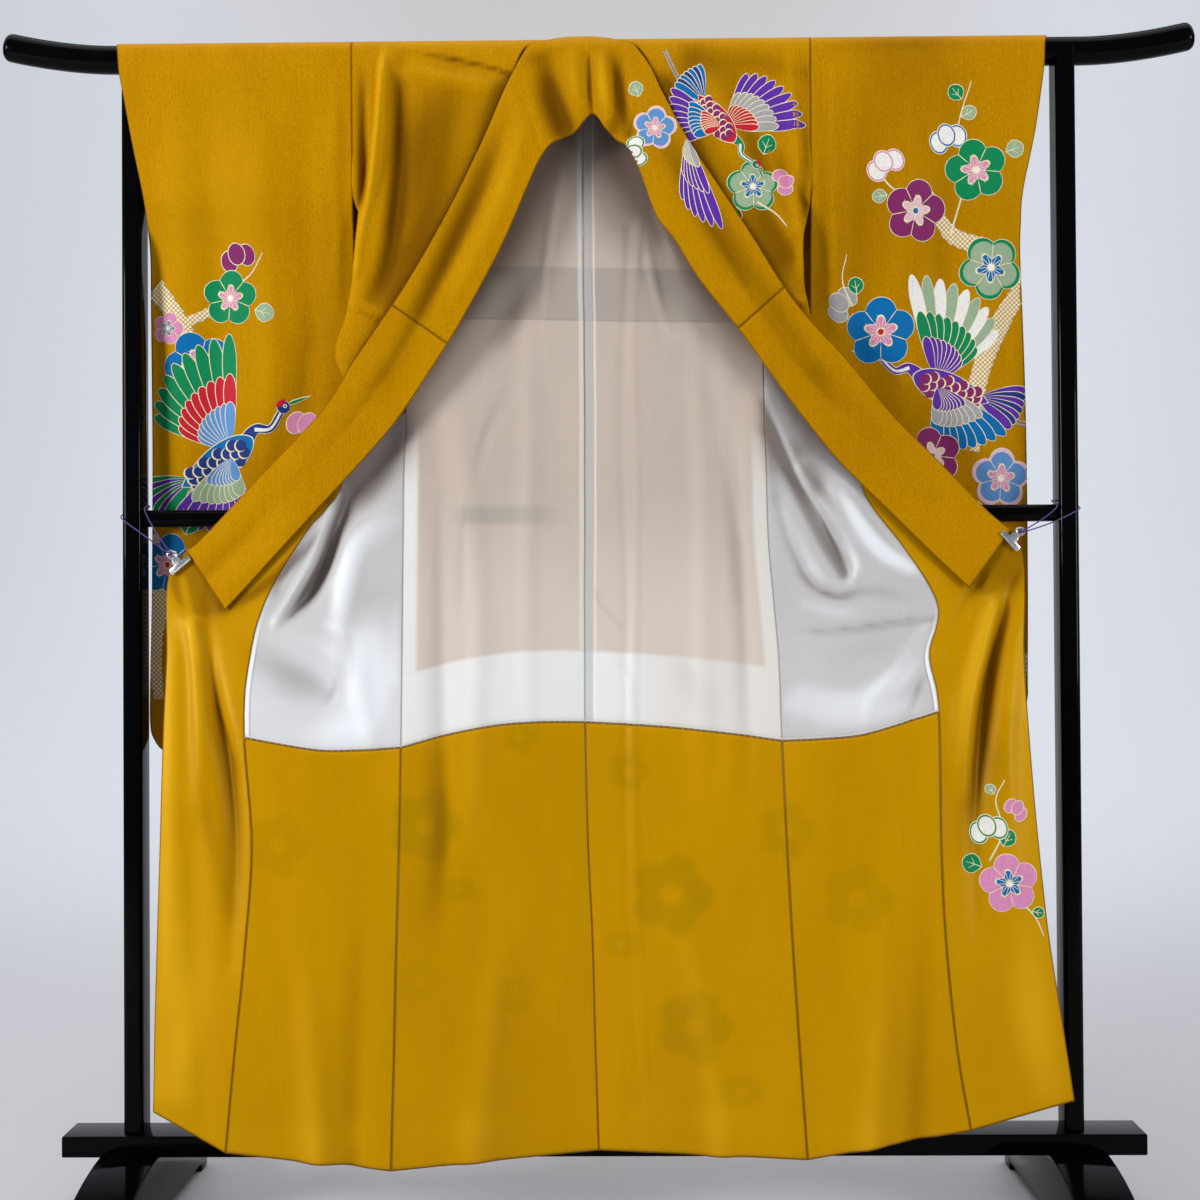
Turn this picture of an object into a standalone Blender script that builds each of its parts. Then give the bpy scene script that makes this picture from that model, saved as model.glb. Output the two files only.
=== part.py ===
# Furisode hung wide open on a lacquered kimono stand.
# Metres, Z up, the viewer at -Y. Tables give x, out (distance towards the viewer) and z.

import math

import bmesh
import bpy
import numpy as np

# Stand
BAR_REACH = 0.850          # from the middle to each tip
BAR_RADIUS = 0.0200
BAR_HEIGHT = 1.661         # axis of the straight stretch
BAR_STRAIGHT = 0.690       # the tips rise beyond this
BAR_RISE = 0.021
RAIL_RADIUS = 0.01225
RAIL_HEIGHT = 1.0005
POST_PLACE = 0.665
POST_WIDTH = 0.028
POST_DEPTH = 0.045
POST_ROUNDING = 0.007
CHEEK_RISE = 0.004         # how far the post's cheeks stand over the bar's axis
BEAM_REACH = 0.7625
BEAM_DEPTH = 0.069
BEAM_TOP = 0.1276
BEAM_THICKNESS = 0.0296
FOOT_REACH = 0.240
FOOT_WIDTH = 0.082
FOOT_CROWN = 0.104
FOOT_TIP = 0.010
PAD_LENGTH = 0.035
PAD_RELIEF = 0.013

# Cloth
SEAM_GAP = 0.0003
WALL = 0.0012
LINING_WALL = 0.0010
COLLAR_WALL = 0.0020
DRAPE_OVER_BAR = {"out": 0.0248, "up": 0.0217}
COLLAR_OVER_BAR = {"out": 0.0282, "up": 0.0254}
SLEEVE_SEAM = {"left": -0.3485, "right": 0.3035}
NECK_MIDDLE = -0.0215
SLEEVE_ROUNDING = 0.050

# Rows of the body panels, counted from the hem.
BOUNDARY_ROW = 4           # skirt facing below, lining above
OKUMI_TIP_ROW = 9
SIDE_TOP_ROW = 11
SHOULDER_ROW = 20
SLEEVE_END_ROW = 14
FRONT_LINING_TOP_ROW = {"left": 9, "right": 10}
BACK_LINING_TOP_ROW = 17

# x, out, z of each seam, from the hem up. The okumi's edge ends at the collar.
OKUMI_EDGE = {
    "left": [
        (-0.610, 0.115, 0.186), (-0.609, 0.111, 0.295), (-0.607, 0.105, 0.410),
        (-0.604, 0.097, 0.555), (-0.603, 0.083, 0.690), (-0.602, 0.068, 0.800),
        (-0.604, 0.047, 0.920), (-0.556, 0.042, 0.972), (-0.475, 0.040, 1.058),
        (-0.388, 0.039, 1.150),
    ],
    "right": [
        (0.639, 0.115, 0.198), (0.625, 0.112, 0.300), (0.609, 0.105, 0.420),
        (0.598, 0.096, 0.550), (0.590, 0.083, 0.690), (0.587, 0.068, 0.800),
        (0.591, 0.047, 0.945), (0.542, 0.042, 1.003), (0.478, 0.040, 1.070),
        (0.412, 0.039, 1.138),
    ],
}
# The okumi's seam up to its tip, then the collar's seam up to the bar.
FRONT_SEAM = {
    "left": [
        (-0.509, 0.125, 0.133), (-0.497, 0.122, 0.265), (-0.484, 0.115, 0.404),
        (-0.476, 0.105, 0.547), (-0.489, 0.090, 0.692), (-0.488, 0.072, 0.785),
        (-0.467, 0.056, 0.879), (-0.412, 0.045, 0.976), (-0.364, 0.038, 1.044),
        (-0.379, 0.037, 1.147), (-0.345, 0.037, 1.218), (-0.290, 0.038, 1.297),
        (-0.262, 0.038, 1.340), (-0.229, 0.037, 1.397), (-0.199, 0.036, 1.453),
        (-0.161, 0.034, 1.532), (-0.132, 0.031, 1.600), (-0.115, 0.028, 1.635),
    ],
    "right": [
        (0.497, 0.125, 0.161), (0.480, 0.122, 0.269), (0.468, 0.115, 0.409),
        (0.464, 0.105, 0.540), (0.465, 0.090, 0.723), (0.456, 0.072, 0.801),
        (0.471, 0.056, 0.868), (0.428, 0.045, 0.947), (0.370, 0.038, 1.039),
        (0.398, 0.036, 1.137), (0.352, 0.037, 1.213), (0.304, 0.038, 1.265),
        (0.263, 0.038, 1.318), (0.217, 0.037, 1.393), (0.180, 0.036, 1.450),
        (0.129, 0.034, 1.529), (0.093, 0.031, 1.598), (0.076, 0.028, 1.635),
    ],
}
# The side seam up to its top, then the front panel's free armhole edge and sleeve seam.
SIDE_SEAM = {
    "left": [
        (-0.287, 0.112, 0.104), (-0.283, 0.108, 0.250), (-0.280, 0.100, 0.400),
        (-0.277, 0.088, 0.543), (-0.276, 0.072, 0.676), (-0.276, 0.058, 0.790),
        (-0.276, 0.047, 0.884), (-0.276, 0.037, 0.973), (-0.276, 0.028, 1.054),
        (-0.275, 0.018, 1.149), (-0.276, 0.010, 1.221), (-0.278, 0.004, 1.280),
        (-0.292, 0.006, 1.335), (-0.322, 0.010, 1.400), (-0.3485, 0.018, 1.458),
        (-0.3485, 0.0210, 1.537), (-0.3485, 0.0235, 1.603), (-0.3485, 0.0235, 1.635),
    ],
    "right": [
        (0.279, 0.112, 0.118), (0.270, 0.108, 0.260), (0.262, 0.100, 0.406),
        (0.256, 0.088, 0.548), (0.252, 0.072, 0.683), (0.250, 0.058, 0.794),
        (0.244, 0.047, 0.881), (0.238, 0.037, 0.970), (0.237, 0.028, 1.062),
        (0.236, 0.018, 1.145), (0.236, 0.010, 1.218), (0.241, 0.004, 1.268),
        (0.249, 0.006, 1.329), (0.275, 0.010, 1.394), (0.3035, 0.018, 1.458),
        (0.3035, 0.0210, 1.537), (0.3035, 0.0235, 1.603), (0.3035, 0.0235, 1.635),
    ],
}
# The back panel's own armhole edge, for the rows over the side seam's top.
BACK_ARMHOLE = {
    "left": [
        (-0.292, -0.004, 1.335), (-0.322, -0.013, 1.400), (-0.3485, -0.0215, 1.458),
        (-0.3485, -0.0235, 1.537), (-0.3485, -0.0240, 1.603), (-0.3485, -0.0235, 1.635),
    ],
    "right": [
        (0.249, -0.004, 1.329), (0.275, -0.013, 1.394), (0.3035, -0.0215, 1.458),
        (0.3035, -0.0235, 1.537), (0.3035, -0.0240, 1.603), (0.3035, -0.0235, 1.635),
    ],
}
CENTRE_SEAM = [
    (-0.005, 0.052, 0.113), (-0.009, 0.049, 0.260), (-0.012, 0.046, 0.400),
    (-0.018, 0.041, 0.545), (-0.021, 0.036, 0.708), (-0.021, 0.031, 0.800),
    (-0.021, 0.027, 0.892), (-0.020, 0.022, 0.979), (-0.020, 0.016, 1.060),
    (-0.0195, 0.008, 1.150), (-0.020, 0.002, 1.220), (-0.020, -0.004, 1.280),
    (-0.021, -0.009, 1.335), (-0.021, -0.015, 1.400), (-0.0215, -0.019, 1.458),
    (-0.0215, -0.022, 1.537), (-0.0215, -0.0235, 1.603), (-0.0215, -0.0235, 1.635),
]
# The front's outer face turns back along this line. Keys are the first row it has.
FRONT_FOLD = {
    "left": (10, [
        (-0.370, 0.027, 1.224), (-0.357, 0.025, 1.286),
        (-0.348, 0.023, 1.339), (-0.341, 0.021, 1.402), (-0.330, 0.023, 1.452),
        (-0.311, 0.026, 1.540), (-0.305, 0.027, 1.603), (-0.303, 0.0265, 1.635),
    ]),
    "right": (11, [
        (0.298, 0.027, 1.275), (0.292, 0.024, 1.325), (0.290, 0.021, 1.391),
        (0.297, 0.023, 1.449), (0.284, 0.025, 1.535), (0.278, 0.026, 1.602),
        (0.276, 0.0265, 1.635),
    ]),
}
# Over the bar: angle from the top towards the viewer, and x of the neck edge.
OVER_BAR = [
    {"angle": 75, "left": -0.098, "right": 0.054},
    {"angle": 40, "left": -0.056, "right": 0.013},
    {"angle": 0, "left": -0.030, "right": -0.013},
]
# Places across the front and back panels where they are cut into faces.
FRONT_PLACES = (0, 0.6, 1.2, 1.65, 2, 2.35, 2.8, 3.4, 4)
BACK_PLACES = (0, 0.375, 0.75, 1.125, 1.5, 1.875, 2.25, 2.625, 3)

# Free edge of the collar, at rows of the okumi edge, then of the collar seam.
COLLAR_EDGE = {
    "left": [
        {"seam": "okumi", "row": 6.60, "edge": (-0.522, 0.063, 0.869)},
        {"seam": "okumi", "row": 7.00, "edge": (-0.488, 0.057, 0.906)},
        {"seam": "okumi", "row": 8.00, "edge": (-0.400, 0.050, 1.003)},
        {"seam": "okumi", "row": 9.00, "edge": (-0.311, 0.047, 1.100)},
        {"seam": "front", "row": 10.0, "edge": (-0.270, 0.047, 1.152)},
        {"seam": "front", "row": 11.0, "edge": (-0.211, 0.047, 1.241)},
        {"seam": "front", "row": 12.0, "edge": (-0.187, 0.047, 1.281)},
        {"seam": "front", "row": 13.0, "edge": (-0.156, 0.046, 1.337)},
        {"seam": "front", "row": 14.0, "edge": (-0.128, 0.045, 1.392)},
        {"seam": "front", "row": 15.0, "edge": (-0.099, 0.044, 1.460)},
        {"seam": "front", "row": 16.0, "edge": (-0.081, 0.042, 1.500)},
        {"seam": "front", "row": 17.0, "edge": (-0.066, 0.039, 1.522)},
    ],
    "right": [
        {"seam": "okumi", "row": 6.40, "edge": (0.514, 0.063, 0.893)},
        {"seam": "okumi", "row": 7.00, "edge": (0.470, 0.057, 0.936)},
        {"seam": "okumi", "row": 8.00, "edge": (0.407, 0.051, 1.000)},
        {"seam": "okumi", "row": 9.00, "edge": (0.338, 0.048, 1.070)},
        {"seam": "front", "row": 10.0, "edge": (0.280, 0.047, 1.143)},
        {"seam": "front", "row": 11.0, "edge": (0.236, 0.047, 1.204)},
        {"seam": "front", "row": 12.0, "edge": (0.197, 0.047, 1.259)},
        {"seam": "front", "row": 13.0, "edge": (0.142, 0.046, 1.330)},
        {"seam": "front", "row": 14.0, "edge": (0.110, 0.045, 1.383)},
        {"seam": "front", "row": 15.0, "edge": (0.083, 0.044, 1.420)},
        {"seam": "front", "row": 16.0, "edge": (0.060, 0.042, 1.484)},
        {"seam": "front", "row": 17.0, "edge": (0.044, 0.040, 1.517)},
    ],
}
COLLAR_COLUMNS = 8
OVER_COLLAR_START = {"left": 5, "right": 6}    # rows of the table above
# The neck stretch: angle and x of the seam on the bar, and the hanging free edge.
NECK = [
    {"angle": 72, "seam": -0.095, "edge": (-0.050, 0.037, 1.531)},
    {"angle": 38, "seam": -0.053, "edge": (-0.030, 0.035, 1.542)},
    {"angle": -12, "seam": -0.022, "edge": (-0.006, 0.031, 1.568)},
    {"angle": 38, "seam": 0.011, "edge": (0.012, 0.035, 1.546)},
    {"angle": 72, "seam": 0.052, "edge": (0.028, 0.038, 1.528)},
]

# Sleeves: outer edge's x and the out of both layers, from the top down.
SLEEVE_BOTTOM = {"left": 0.655, "right": 0.690}
SLEEVE_ROWS = {
    "left": [
        {"z": 1.635, "edge": -0.680, "front": (0.0235, 0.0262), "back": (-0.0235, -0.0262)},
        {"z": 1.603, "edge": -0.674, "front": (0.0235, 0.0264), "back": (-0.0240, -0.0264)},
        {"z": 1.537, "edge": -0.662, "front": (0.0210, 0.0264), "back": (-0.0235, -0.0264)},
        {"z": 1.458, "edge": -0.6460, "front": (0.0180, 0.0262), "back": (-0.0215, -0.0262)},
        {"z": 1.415, "edge": -0.6435, "front": (0.0100, 0.0100), "back": (-0.0260, -0.0120)},
        {"z": 1.375, "edge": -0.6440, "front": (0.0030, -0.0045), "back": (-0.0285, -0.0060)},
        {"z": 1.300, "edge": -0.6460, "front": (-0.0050, -0.0135), "back": (-0.0320, -0.0150)},
        {"z": 1.200, "edge": -0.6470, "front": (-0.0115, -0.0205), "back": (-0.0340, -0.0220)},
        {"z": 1.100, "edge": -0.6475, "front": (-0.0165, -0.0245), "back": (-0.0355, -0.0260)},
        {"z": 1.000, "edge": -0.6485, "front": (-0.0195, -0.0265), "back": (-0.0360, -0.0280)},
        {"z": 0.880, "edge": -0.6500, "front": (-0.0225, -0.0275), "back": (-0.0355, -0.0290)},
        {"z": 0.760, "edge": -0.6530, "front": (-0.0250, -0.0285), "back": (-0.0340, -0.0300)},
    ],
    "right": [
        {"z": 1.635, "edge": 0.634, "front": (0.0235, 0.0260), "back": (-0.0235, -0.0260)},
        {"z": 1.603, "edge": 0.630, "front": (0.0235, 0.0260), "back": (-0.0240, -0.0260)},
        {"z": 1.537, "edge": 0.620, "front": (0.0210, 0.0240), "back": (-0.0235, -0.0250)},
        {"z": 1.458, "edge": 0.6050, "front": (0.0180, 0.0150), "back": (-0.0215, -0.0200)},
        {"z": 1.415, "edge": 0.6040, "front": (0.0100, 0.0040), "back": (-0.0260, -0.0120)},
        {"z": 1.375, "edge": 0.6050, "front": (0.0030, -0.0055), "back": (-0.0285, -0.0070)},
        {"z": 1.300, "edge": 0.6090, "front": (-0.0050, -0.0135), "back": (-0.0320, -0.0150)},
        {"z": 1.200, "edge": 0.6135, "front": (-0.0115, -0.0205), "back": (-0.0340, -0.0220)},
        {"z": 1.100, "edge": 0.6160, "front": (-0.0165, -0.0245), "back": (-0.0355, -0.0260)},
        {"z": 1.000, "edge": 0.6170, "front": (-0.0195, -0.0265), "back": (-0.0360, -0.0280)},
        {"z": 0.880, "edge": 0.6170, "front": (-0.0225, -0.0275), "back": (-0.0355, -0.0290)},
        {"z": 0.760, "edge": 0.6160, "front": (-0.0250, -0.0285), "back": (-0.0340, -0.0300)},
    ],
}
SLEEVE_TOP_EDGE = {"left": (-0.683, -0.686, -0.687), "right": (0.636, 0.640, 0.641)}
SLEEVE_PLACES = (0, 0.45, 0.9, 1.35, 1.8, 2.25, 2.7, 3)
SLEEVE_BELLY = 0.0025
SLEEVE_SEAM_END = 1.458    # below this the sleeve's inner edge hangs free
SLEEVE_LAP = 0.030         # how far its back layer then reaches behind the body

# Clips: middle of the jaws as x, z, and the tilt of the jaws' line.
CLIPS = {
    "left": {"jaws": (-0.588, 0.932), "out": 0.0455, "tilt": 40.0},
    "right": {"jaws": (0.574, 0.959), "out": 0.0455, "tilt": -48.0},
}
JAW_LENGTH = 0.034
JAW_DEPTH = 0.0075
JAW_WALL = 0.0012
FRONT_JAW_LIFT = 0.0078
BACK_JAW_LIFT = -0.0034
SPINE_WIDTH = 0.013
SPINE_REACH = 0.0100
EYELET_REACH = 0.019
EYELET_RADIUS = 0.0065
EYELET_HOLE = 0.0030

# Ties: x, out, z from the knot on the eyelet round the post and back to the knot.
TIE_RADIUS = 0.0009
KNOT_RADIUS = 0.0034
KNOT_SEAT = 0.0028          # the knot sits in the eyelet
TIES = {
    "left": [
        (-0.6015, 0.0585, 0.9475), (-0.640, 0.045, 0.974), (-0.672, 0.029, 0.995),
        (-0.6815, 0.016, 1.003), (-0.6815, -0.012, 1.009), (-0.674, -0.0245, 1.013),
        (-0.656, -0.0250, 1.017), (-0.6485, -0.012, 1.0195), (-0.6475, 0.006, 1.0185),
        (-0.645, 0.024, 1.010), (-0.626, 0.043, 0.982), (-0.5995, 0.0585, 0.9485),
    ],
    "right": [
        (0.590, 0.0595, 0.9720), (0.622, 0.045, 0.990), (0.6455, 0.0265, 1.007),
        (0.6475, 0.006, 1.0170), (0.6485, -0.012, 1.0185), (0.656, -0.0250, 1.017),
        (0.674, -0.0245, 1.014), (0.6815, -0.012, 1.011), (0.6815, 0.014, 1.007),
        (0.672, 0.029, 1.001), (0.636, 0.046, 0.985), (0.5905, 0.0595, 0.9700),
    ],
}

COLOURS = {
    "lacquer": ((0.010, 0.010, 0.012), 0.12, 0.0),
    "gold_crepe": ((0.560, 0.290, 0.006), 0.75, 0.0),
    "gold_satin": ((0.560, 0.290, 0.006), 0.50, 0.0),
    "lining_silk": ((0.640, 0.600, 0.570), 0.45, 0.0),
    "clip_metal": ((0.780, 0.780, 0.790), 0.25, 1.0),
    "tie_cord": ((0.070, 0.020, 0.200), 0.80, 0.0),
}


def clear_scene():
    for item in list(bpy.data.objects):
        bpy.data.objects.remove(item, do_unlink=True)


def material(name):
    made = bpy.data.materials.get(name) or bpy.data.materials.new(name)
    colour, roughness, metallic = COLOURS[name]
    made.use_nodes = True
    surface = made.node_tree.nodes["Principled BSDF"]
    surface.inputs["Base Color"].default_value = (*colour, 1.0)
    surface.inputs["Roughness"].default_value = roughness
    surface.inputs["Metallic"].default_value = metallic
    return made


def add_mesh(name, points, faces, finish):
    mesh = bpy.data.meshes.new(name)
    mesh.from_pydata([tuple(map(float, p)) for p in points], [], faces)
    mesh.materials.append(material(finish))
    work = bmesh.new()
    work.from_mesh(mesh)
    bmesh.ops.recalc_face_normals(work, faces=work.faces)
    if work.calc_volume(signed=True) < 0:
        bmesh.ops.reverse_faces(work, faces=work.faces)
    work.to_mesh(mesh)
    work.free()
    made = bpy.data.objects.new(name, mesh)
    bpy.context.scene.collection.objects.link(made)
    return made


def world(rows):
    table = np.array(rows, dtype=float)
    return np.stack([table[..., 0], -table[..., 1], table[..., 2]], axis=-1)


def through(points, places):
    """A smooth curve through points along their first axis, read at the given places."""
    points = np.asarray(points, dtype=float)
    first = 2 * points[:1] - points[1:2]
    last = 2 * points[-1:] - points[-2:-1]
    padded = np.concatenate([first, points, last])
    read = []
    for place in places:
        step = min(int(place), len(points) - 2)
        t = place - step
        a, b, c, d = padded[step:step + 4]
        read.append(
            b + 0.5 * t * (c - a + t * (2 * a - 5 * b + 4 * c - d + t * (3 * (b - c) + d - a)))
        )
    return np.array(read)


def places_between(first, last, step):
    return [first + i * step for i in range(round((last - first) / step))]


def body_places():
    """Rows where a body strip is cut, from front hem over the shoulder to back hem."""
    rise = places_between(0, 8, 0.5) + places_between(8, 16, 1)
    rise += places_between(16, SHOULDER_ROW, 0.5)
    return rise + [SHOULDER_ROW] + [2 * SHOULDER_ROW - place for place in reversed(rise)]


def cut_at(row):
    return body_places().index(row)


def unit(vectors):
    return vectors / np.maximum(np.linalg.norm(vectors, axis=-1, keepdims=True), 1e-12)


def sheet_normals(grid, side):
    across = np.gradient(grid, axis=1)
    along = np.gradient(grid, axis=0)
    return unit(np.cross(across, along)) * (1 if side == "left" else -1)


def drawn_in(grid, first_row=0, last_row=0, first_column=0, last_column=0):
    """The grid with its borders moved inwards by the given amounts."""
    grid = grid.copy()
    grid[0] += unit(grid[1] - grid[0]) * first_row
    grid[-1] += unit(grid[-2] - grid[-1]) * last_row
    grid[:, 0] += unit(grid[:, 1] - grid[:, 0]) * first_column
    grid[:, -1] += unit(grid[:, -2] - grid[:, -1]) * last_column
    return grid


def wall(name, grid, normals, low, high, finish):
    """A closed sheet between two distances from the grid along its normals."""
    rows, columns = grid.shape[:2]
    count = rows * columns
    points = np.concatenate([
        (grid + normals * low).reshape(-1, 3), (grid + normals * high).reshape(-1, 3)
    ])
    faces = []
    for i in range(rows - 1):
        for j in range(columns - 1):
            a = i * columns + j
            b, c, d = a + 1, a + columns + 1, a + columns
            faces += [(a, c, b), (a, d, c)]
            faces += [(a + count, b + count, c + count), (a + count, c + count, d + count)]
    rim = [(0, j) for j in range(columns)] + [(i, columns - 1) for i in range(1, rows)]
    rim += [(rows - 1, j) for j in range(columns - 2, -1, -1)]
    rim += [(i, 0) for i in range(rows - 2, 0, -1)]
    ring = [i * columns + j for i, j in rim]
    for a, b in zip(ring, ring[1:] + ring[:1]):
        faces.append((a, b, b + count, a + count))
    return add_mesh(name, points, faces, finish)


# Body panels

def over_bar_point(x, angle, size):
    turn = math.radians(angle)
    return (x, size["out"] * math.sin(turn), BAR_HEIGHT + size["up"] * math.cos(turn))


def front_rows(side):
    """Control points of a front panel, a row of five for each height."""
    seam, edge = FRONT_SEAM[side], SIDE_SEAM[side]
    first_fold, fold = FRONT_FOLD[side]
    rows = []
    for k, (a, b) in enumerate(zip(seam, edge)):
        a, b = np.array(a), np.array(b)
        middle = np.array(fold[k - first_fold]) if k >= first_fold else (a + b) / 2
        near, far = (a + middle) / 2, (middle + b) / 2
        if first_fold <= k <= 13:
            near = near + (0, 0.002, 0)
            far = far - (0, 0.003, 0)
        rows.append([a, near, middle, far, b])
    armhole = SLEEVE_SEAM[side]
    ridge = fold[-1][0]
    for stage in OVER_BAR:
        marks = (stage[side], (stage[side] + ridge) / 2, ridge, (ridge + armhole) / 2, armhole)
        rows.append([over_bar_point(x, stage["angle"], DRAPE_OVER_BAR) for x in marks])
    return world(rows)


def back_rows(side):
    """Control points of a back panel, a row of four for each height."""
    edge = SIDE_SEAM[side][:SIDE_TOP_ROW + 1] + BACK_ARMHOLE[side]
    rows = []
    for a, b in zip(CENTRE_SEAM, edge):
        a, b = np.array(a), np.array(b)
        rows.append([a, a + (b - a) / 3 - (0, 0.001, 0), a + (b - a) * 2 / 3 - (0, 0.001, 0), b])
    armhole = SLEEVE_SEAM[side]
    for stage in OVER_BAR[:2]:
        marks = [NECK_MIDDLE + (armhole - NECK_MIDDLE) * share / 3 for share in range(4)]
        rows.append([over_bar_point(x, -stage["angle"], DRAPE_OVER_BAR) for x in marks])
    return world(rows)


def okumi_rows(side):
    """Control points of an okumi, from its hem to just past its tip."""
    seam = FRONT_SEAM[side][:OKUMI_TIP_ROW + 2]
    edge = OKUMI_EDGE[side] + [seam[-1]]
    rows = []
    for a, b in zip(edge, seam):
        a, b = np.array(a), np.array(b)
        rows.append([a, (a + b) / 2, b])
    return world(rows)


def body_grids(side):
    """Dense grids of the strip that runs from front hem over the shoulder to back hem."""
    front = front_rows(side)
    back = back_rows(side)
    front = np.array([through(row, FRONT_PLACES) for row in front])
    back = np.array([through(row, BACK_PLACES) for row in back])
    strip = through(np.concatenate([front, back[::-1]]), body_places())
    okumi = np.array([through(row, (0, 0.7, 1.35, 2)) for row in okumi_rows(side)])
    okumi = through(okumi, body_places()[:cut_at(OKUMI_TIP_ROW) + 1])
    keep_off_seams(side, strip)
    return strip, okumi


def keep_off_seams(side, strip):
    """Holds the sleeve seam and the back of the neck straight between their rows."""
    nearer, farther = (np.maximum, np.minimum) if side == "left" else (np.minimum, np.maximum)
    sewn = slice(cut_at(SLEEVE_END_ROW - 1), -cut_at(SLEEVE_END_ROW - 1))
    strip[sewn, -1, 0] = nearer(strip[sewn, -1, 0], SLEEVE_SEAM[side])
    behind = slice(cut_at(SHOULDER_ROW) + 1, None)
    strip[behind, 0, 0] = farther(strip[behind, 0, 0], np.where(
        strip[behind, 0, 2] > CENTRE_SEAM[-5][2], NECK_MIDDLE, strip[behind, 0, 0]))


def shared_normals(first, second):
    """One normal for both sides of a seam, so that their walls stay parallel."""
    mean = unit(first + second)
    first[:] = mean
    second[:] = mean


def upright_normals(normals):
    normals[:, 0] = 0
    normals[:] = unit(normals)


def make_body():
    grids, normals, okumis, okumi_normals = {}, {}, {}, {}
    for side in ("left", "right"):
        grids[side], okumis[side] = body_grids(side)
        normals[side] = sheet_normals(grids[side], side)
        okumi_normals[side] = sheet_normals(okumis[side], side)
    side_top = cut_at(SIDE_TOP_ROW) + 1
    tip = cut_at(OKUMI_TIP_ROW) + 1
    sewn = slice(cut_at(SLEEVE_END_ROW), -cut_at(SLEEVE_END_ROW))
    behind = slice(cut_at(SHOULDER_ROW) + 1, None)
    for side in ("left", "right"):
        strip = normals[side]
        shared_normals(strip[:side_top, -1], strip[::-1][:side_top, -1])
        shared_normals(strip[:tip, 0], okumi_normals[side][:, -1])
        upright_normals(strip[sewn, -1])
    shared_normals(normals["left"][behind, 0], normals["right"][behind, 0])
    for side in ("left", "right"):
        make_side(side, grids[side], normals[side], okumis[side], okumi_normals[side])


def make_side(side, strip, normals, okumi, okumi_normals):
    half = SEAM_GAP / 2
    lining = (WALL / 2 + SEAM_GAP, WALL / 2 + SEAM_GAP + LINING_WALL)
    body = drawn_in(strip, first_column=half, last_column=half)
    wall(f"body_{side}", body, normals, -WALL / 2, WALL / 2, "gold_crepe")
    edge = drawn_in(okumi, last_column=half)
    wall(f"okumi_{side}", edge, okumi_normals, -WALL / 2, WALL / 2, "gold_crepe")
    wall(f"okumi_facing_{side}", edge, okumi_normals, *lining, "gold_satin")
    boundary = cut_at(BOUNDARY_ROW)
    front_top = cut_at(FRONT_LINING_TOP_ROW[side])
    back_top = len(body) - 1 - cut_at(BACK_LINING_TOP_ROW)
    back_boundary = len(body) - 1 - boundary
    pieces = (
        ("front_facing", 0, boundary, {"last_row": half}, "gold_satin"),
        ("front_lining", boundary, front_top, {"first_row": half}, "lining_silk"),
        ("back_facing", back_boundary, len(body) - 1, {"first_row": half}, "gold_satin"),
        ("back_lining", back_top, back_boundary, {"last_row": half}, "lining_silk"),
    )
    for name, start, stop, inset, finish in pieces:
        grid = drawn_in(body[start:stop + 1], **inset)
        wall(f"{name}_{side}", grid, normals[start:stop + 1], *lining, finish)


# Collar

def collar_side(side):
    lift = WALL / 2 + 2 * SEAM_GAP + LINING_WALL + SEAM_GAP + COLLAR_WALL / 2
    rows = []
    for row in COLLAR_EDGE[side]:
        line = OKUMI_EDGE[side] if row["seam"] == "okumi" else FRONT_SEAM[side]
        seam = through(line, [row["row"]])[0] + (0, lift, 0)
        edge = np.array(row["edge"])
        middle = (seam + edge) / 2 + (0, 0.002, 0)
        rows.append(through([seam, middle, edge], np.linspace(0, 2, COLLAR_COLUMNS)))
    return rows


def neck_row(angle, seam, edge):
    """Points across the band: over the bar at a seam's angle, then down to the free edge."""
    angles = np.linspace(angle, 90, 7)
    xs = np.linspace(seam, seam * 0.4 + edge[0] * 0.6, 7)
    arc = [over_bar_point(x, a, COLLAR_OVER_BAR) for x, a in zip(xs, angles)]
    corners = np.array([*arc, edge])
    steps = np.linalg.norm(np.diff(corners, axis=0), axis=1) / 0.040
    steps[:-1] += (90 - angle) / 6 / 20
    along = np.concatenate([[0], np.cumsum(steps)])
    places = np.linspace(0, along[-1], COLLAR_COLUMNS)
    return np.stack([np.interp(places, along, corners[:, k]) for k in range(3)], axis=1)


def make_collar():
    neck = [[row["angle"], row["seam"], *row["edge"]] for row in NECK]
    neck = through(neck, [*places_between(0, len(NECK) - 1, 0.5), len(NECK) - 1])
    neck = [neck_row(row[0], row[1], row[2:]) for row in neck]
    left, right = collar_side("left"), collar_side("right")
    control = world(left + neck + right[::-1])
    last = len(control) - 1
    places = places_between(0, len(left), 0.5) + places_between(len(left), last - len(right), 1)
    places += places_between(last - len(right), last, 0.5) + [last]
    grid = through(control, places)
    normals = sheet_normals(grid, "left")
    first_seam = places.index(OVER_COLLAR_START["left"])
    second_seam = places.index(last - OVER_COLLAR_START["right"])
    stretches = (
        ("collar_left", 0, first_seam),
        ("over_collar", first_seam, second_seam),
        ("collar_right", second_seam, len(grid) - 1),
    )
    half = SEAM_GAP / 2
    for name, start, stop in stretches:
        piece = drawn_in(grid[start:stop + 1], first_row=half, last_row=half)
        wall(name, piece, normals[start:stop + 1], -COLLAR_WALL / 2, COLLAR_WALL / 2,
             "gold_crepe")


# Sleeves

def sleeve_lap(side, z):
    """How far the back layer's free inner edge swings in behind the body."""
    share = min(1, max(0, (SLEEVE_SEAM_END - z) / 0.065))
    share *= min(1, (z - SLEEVE_BOTTOM[side]) / 0.250)
    return SLEEVE_LAP * share * (1 if side == "left" else -1)


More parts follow.
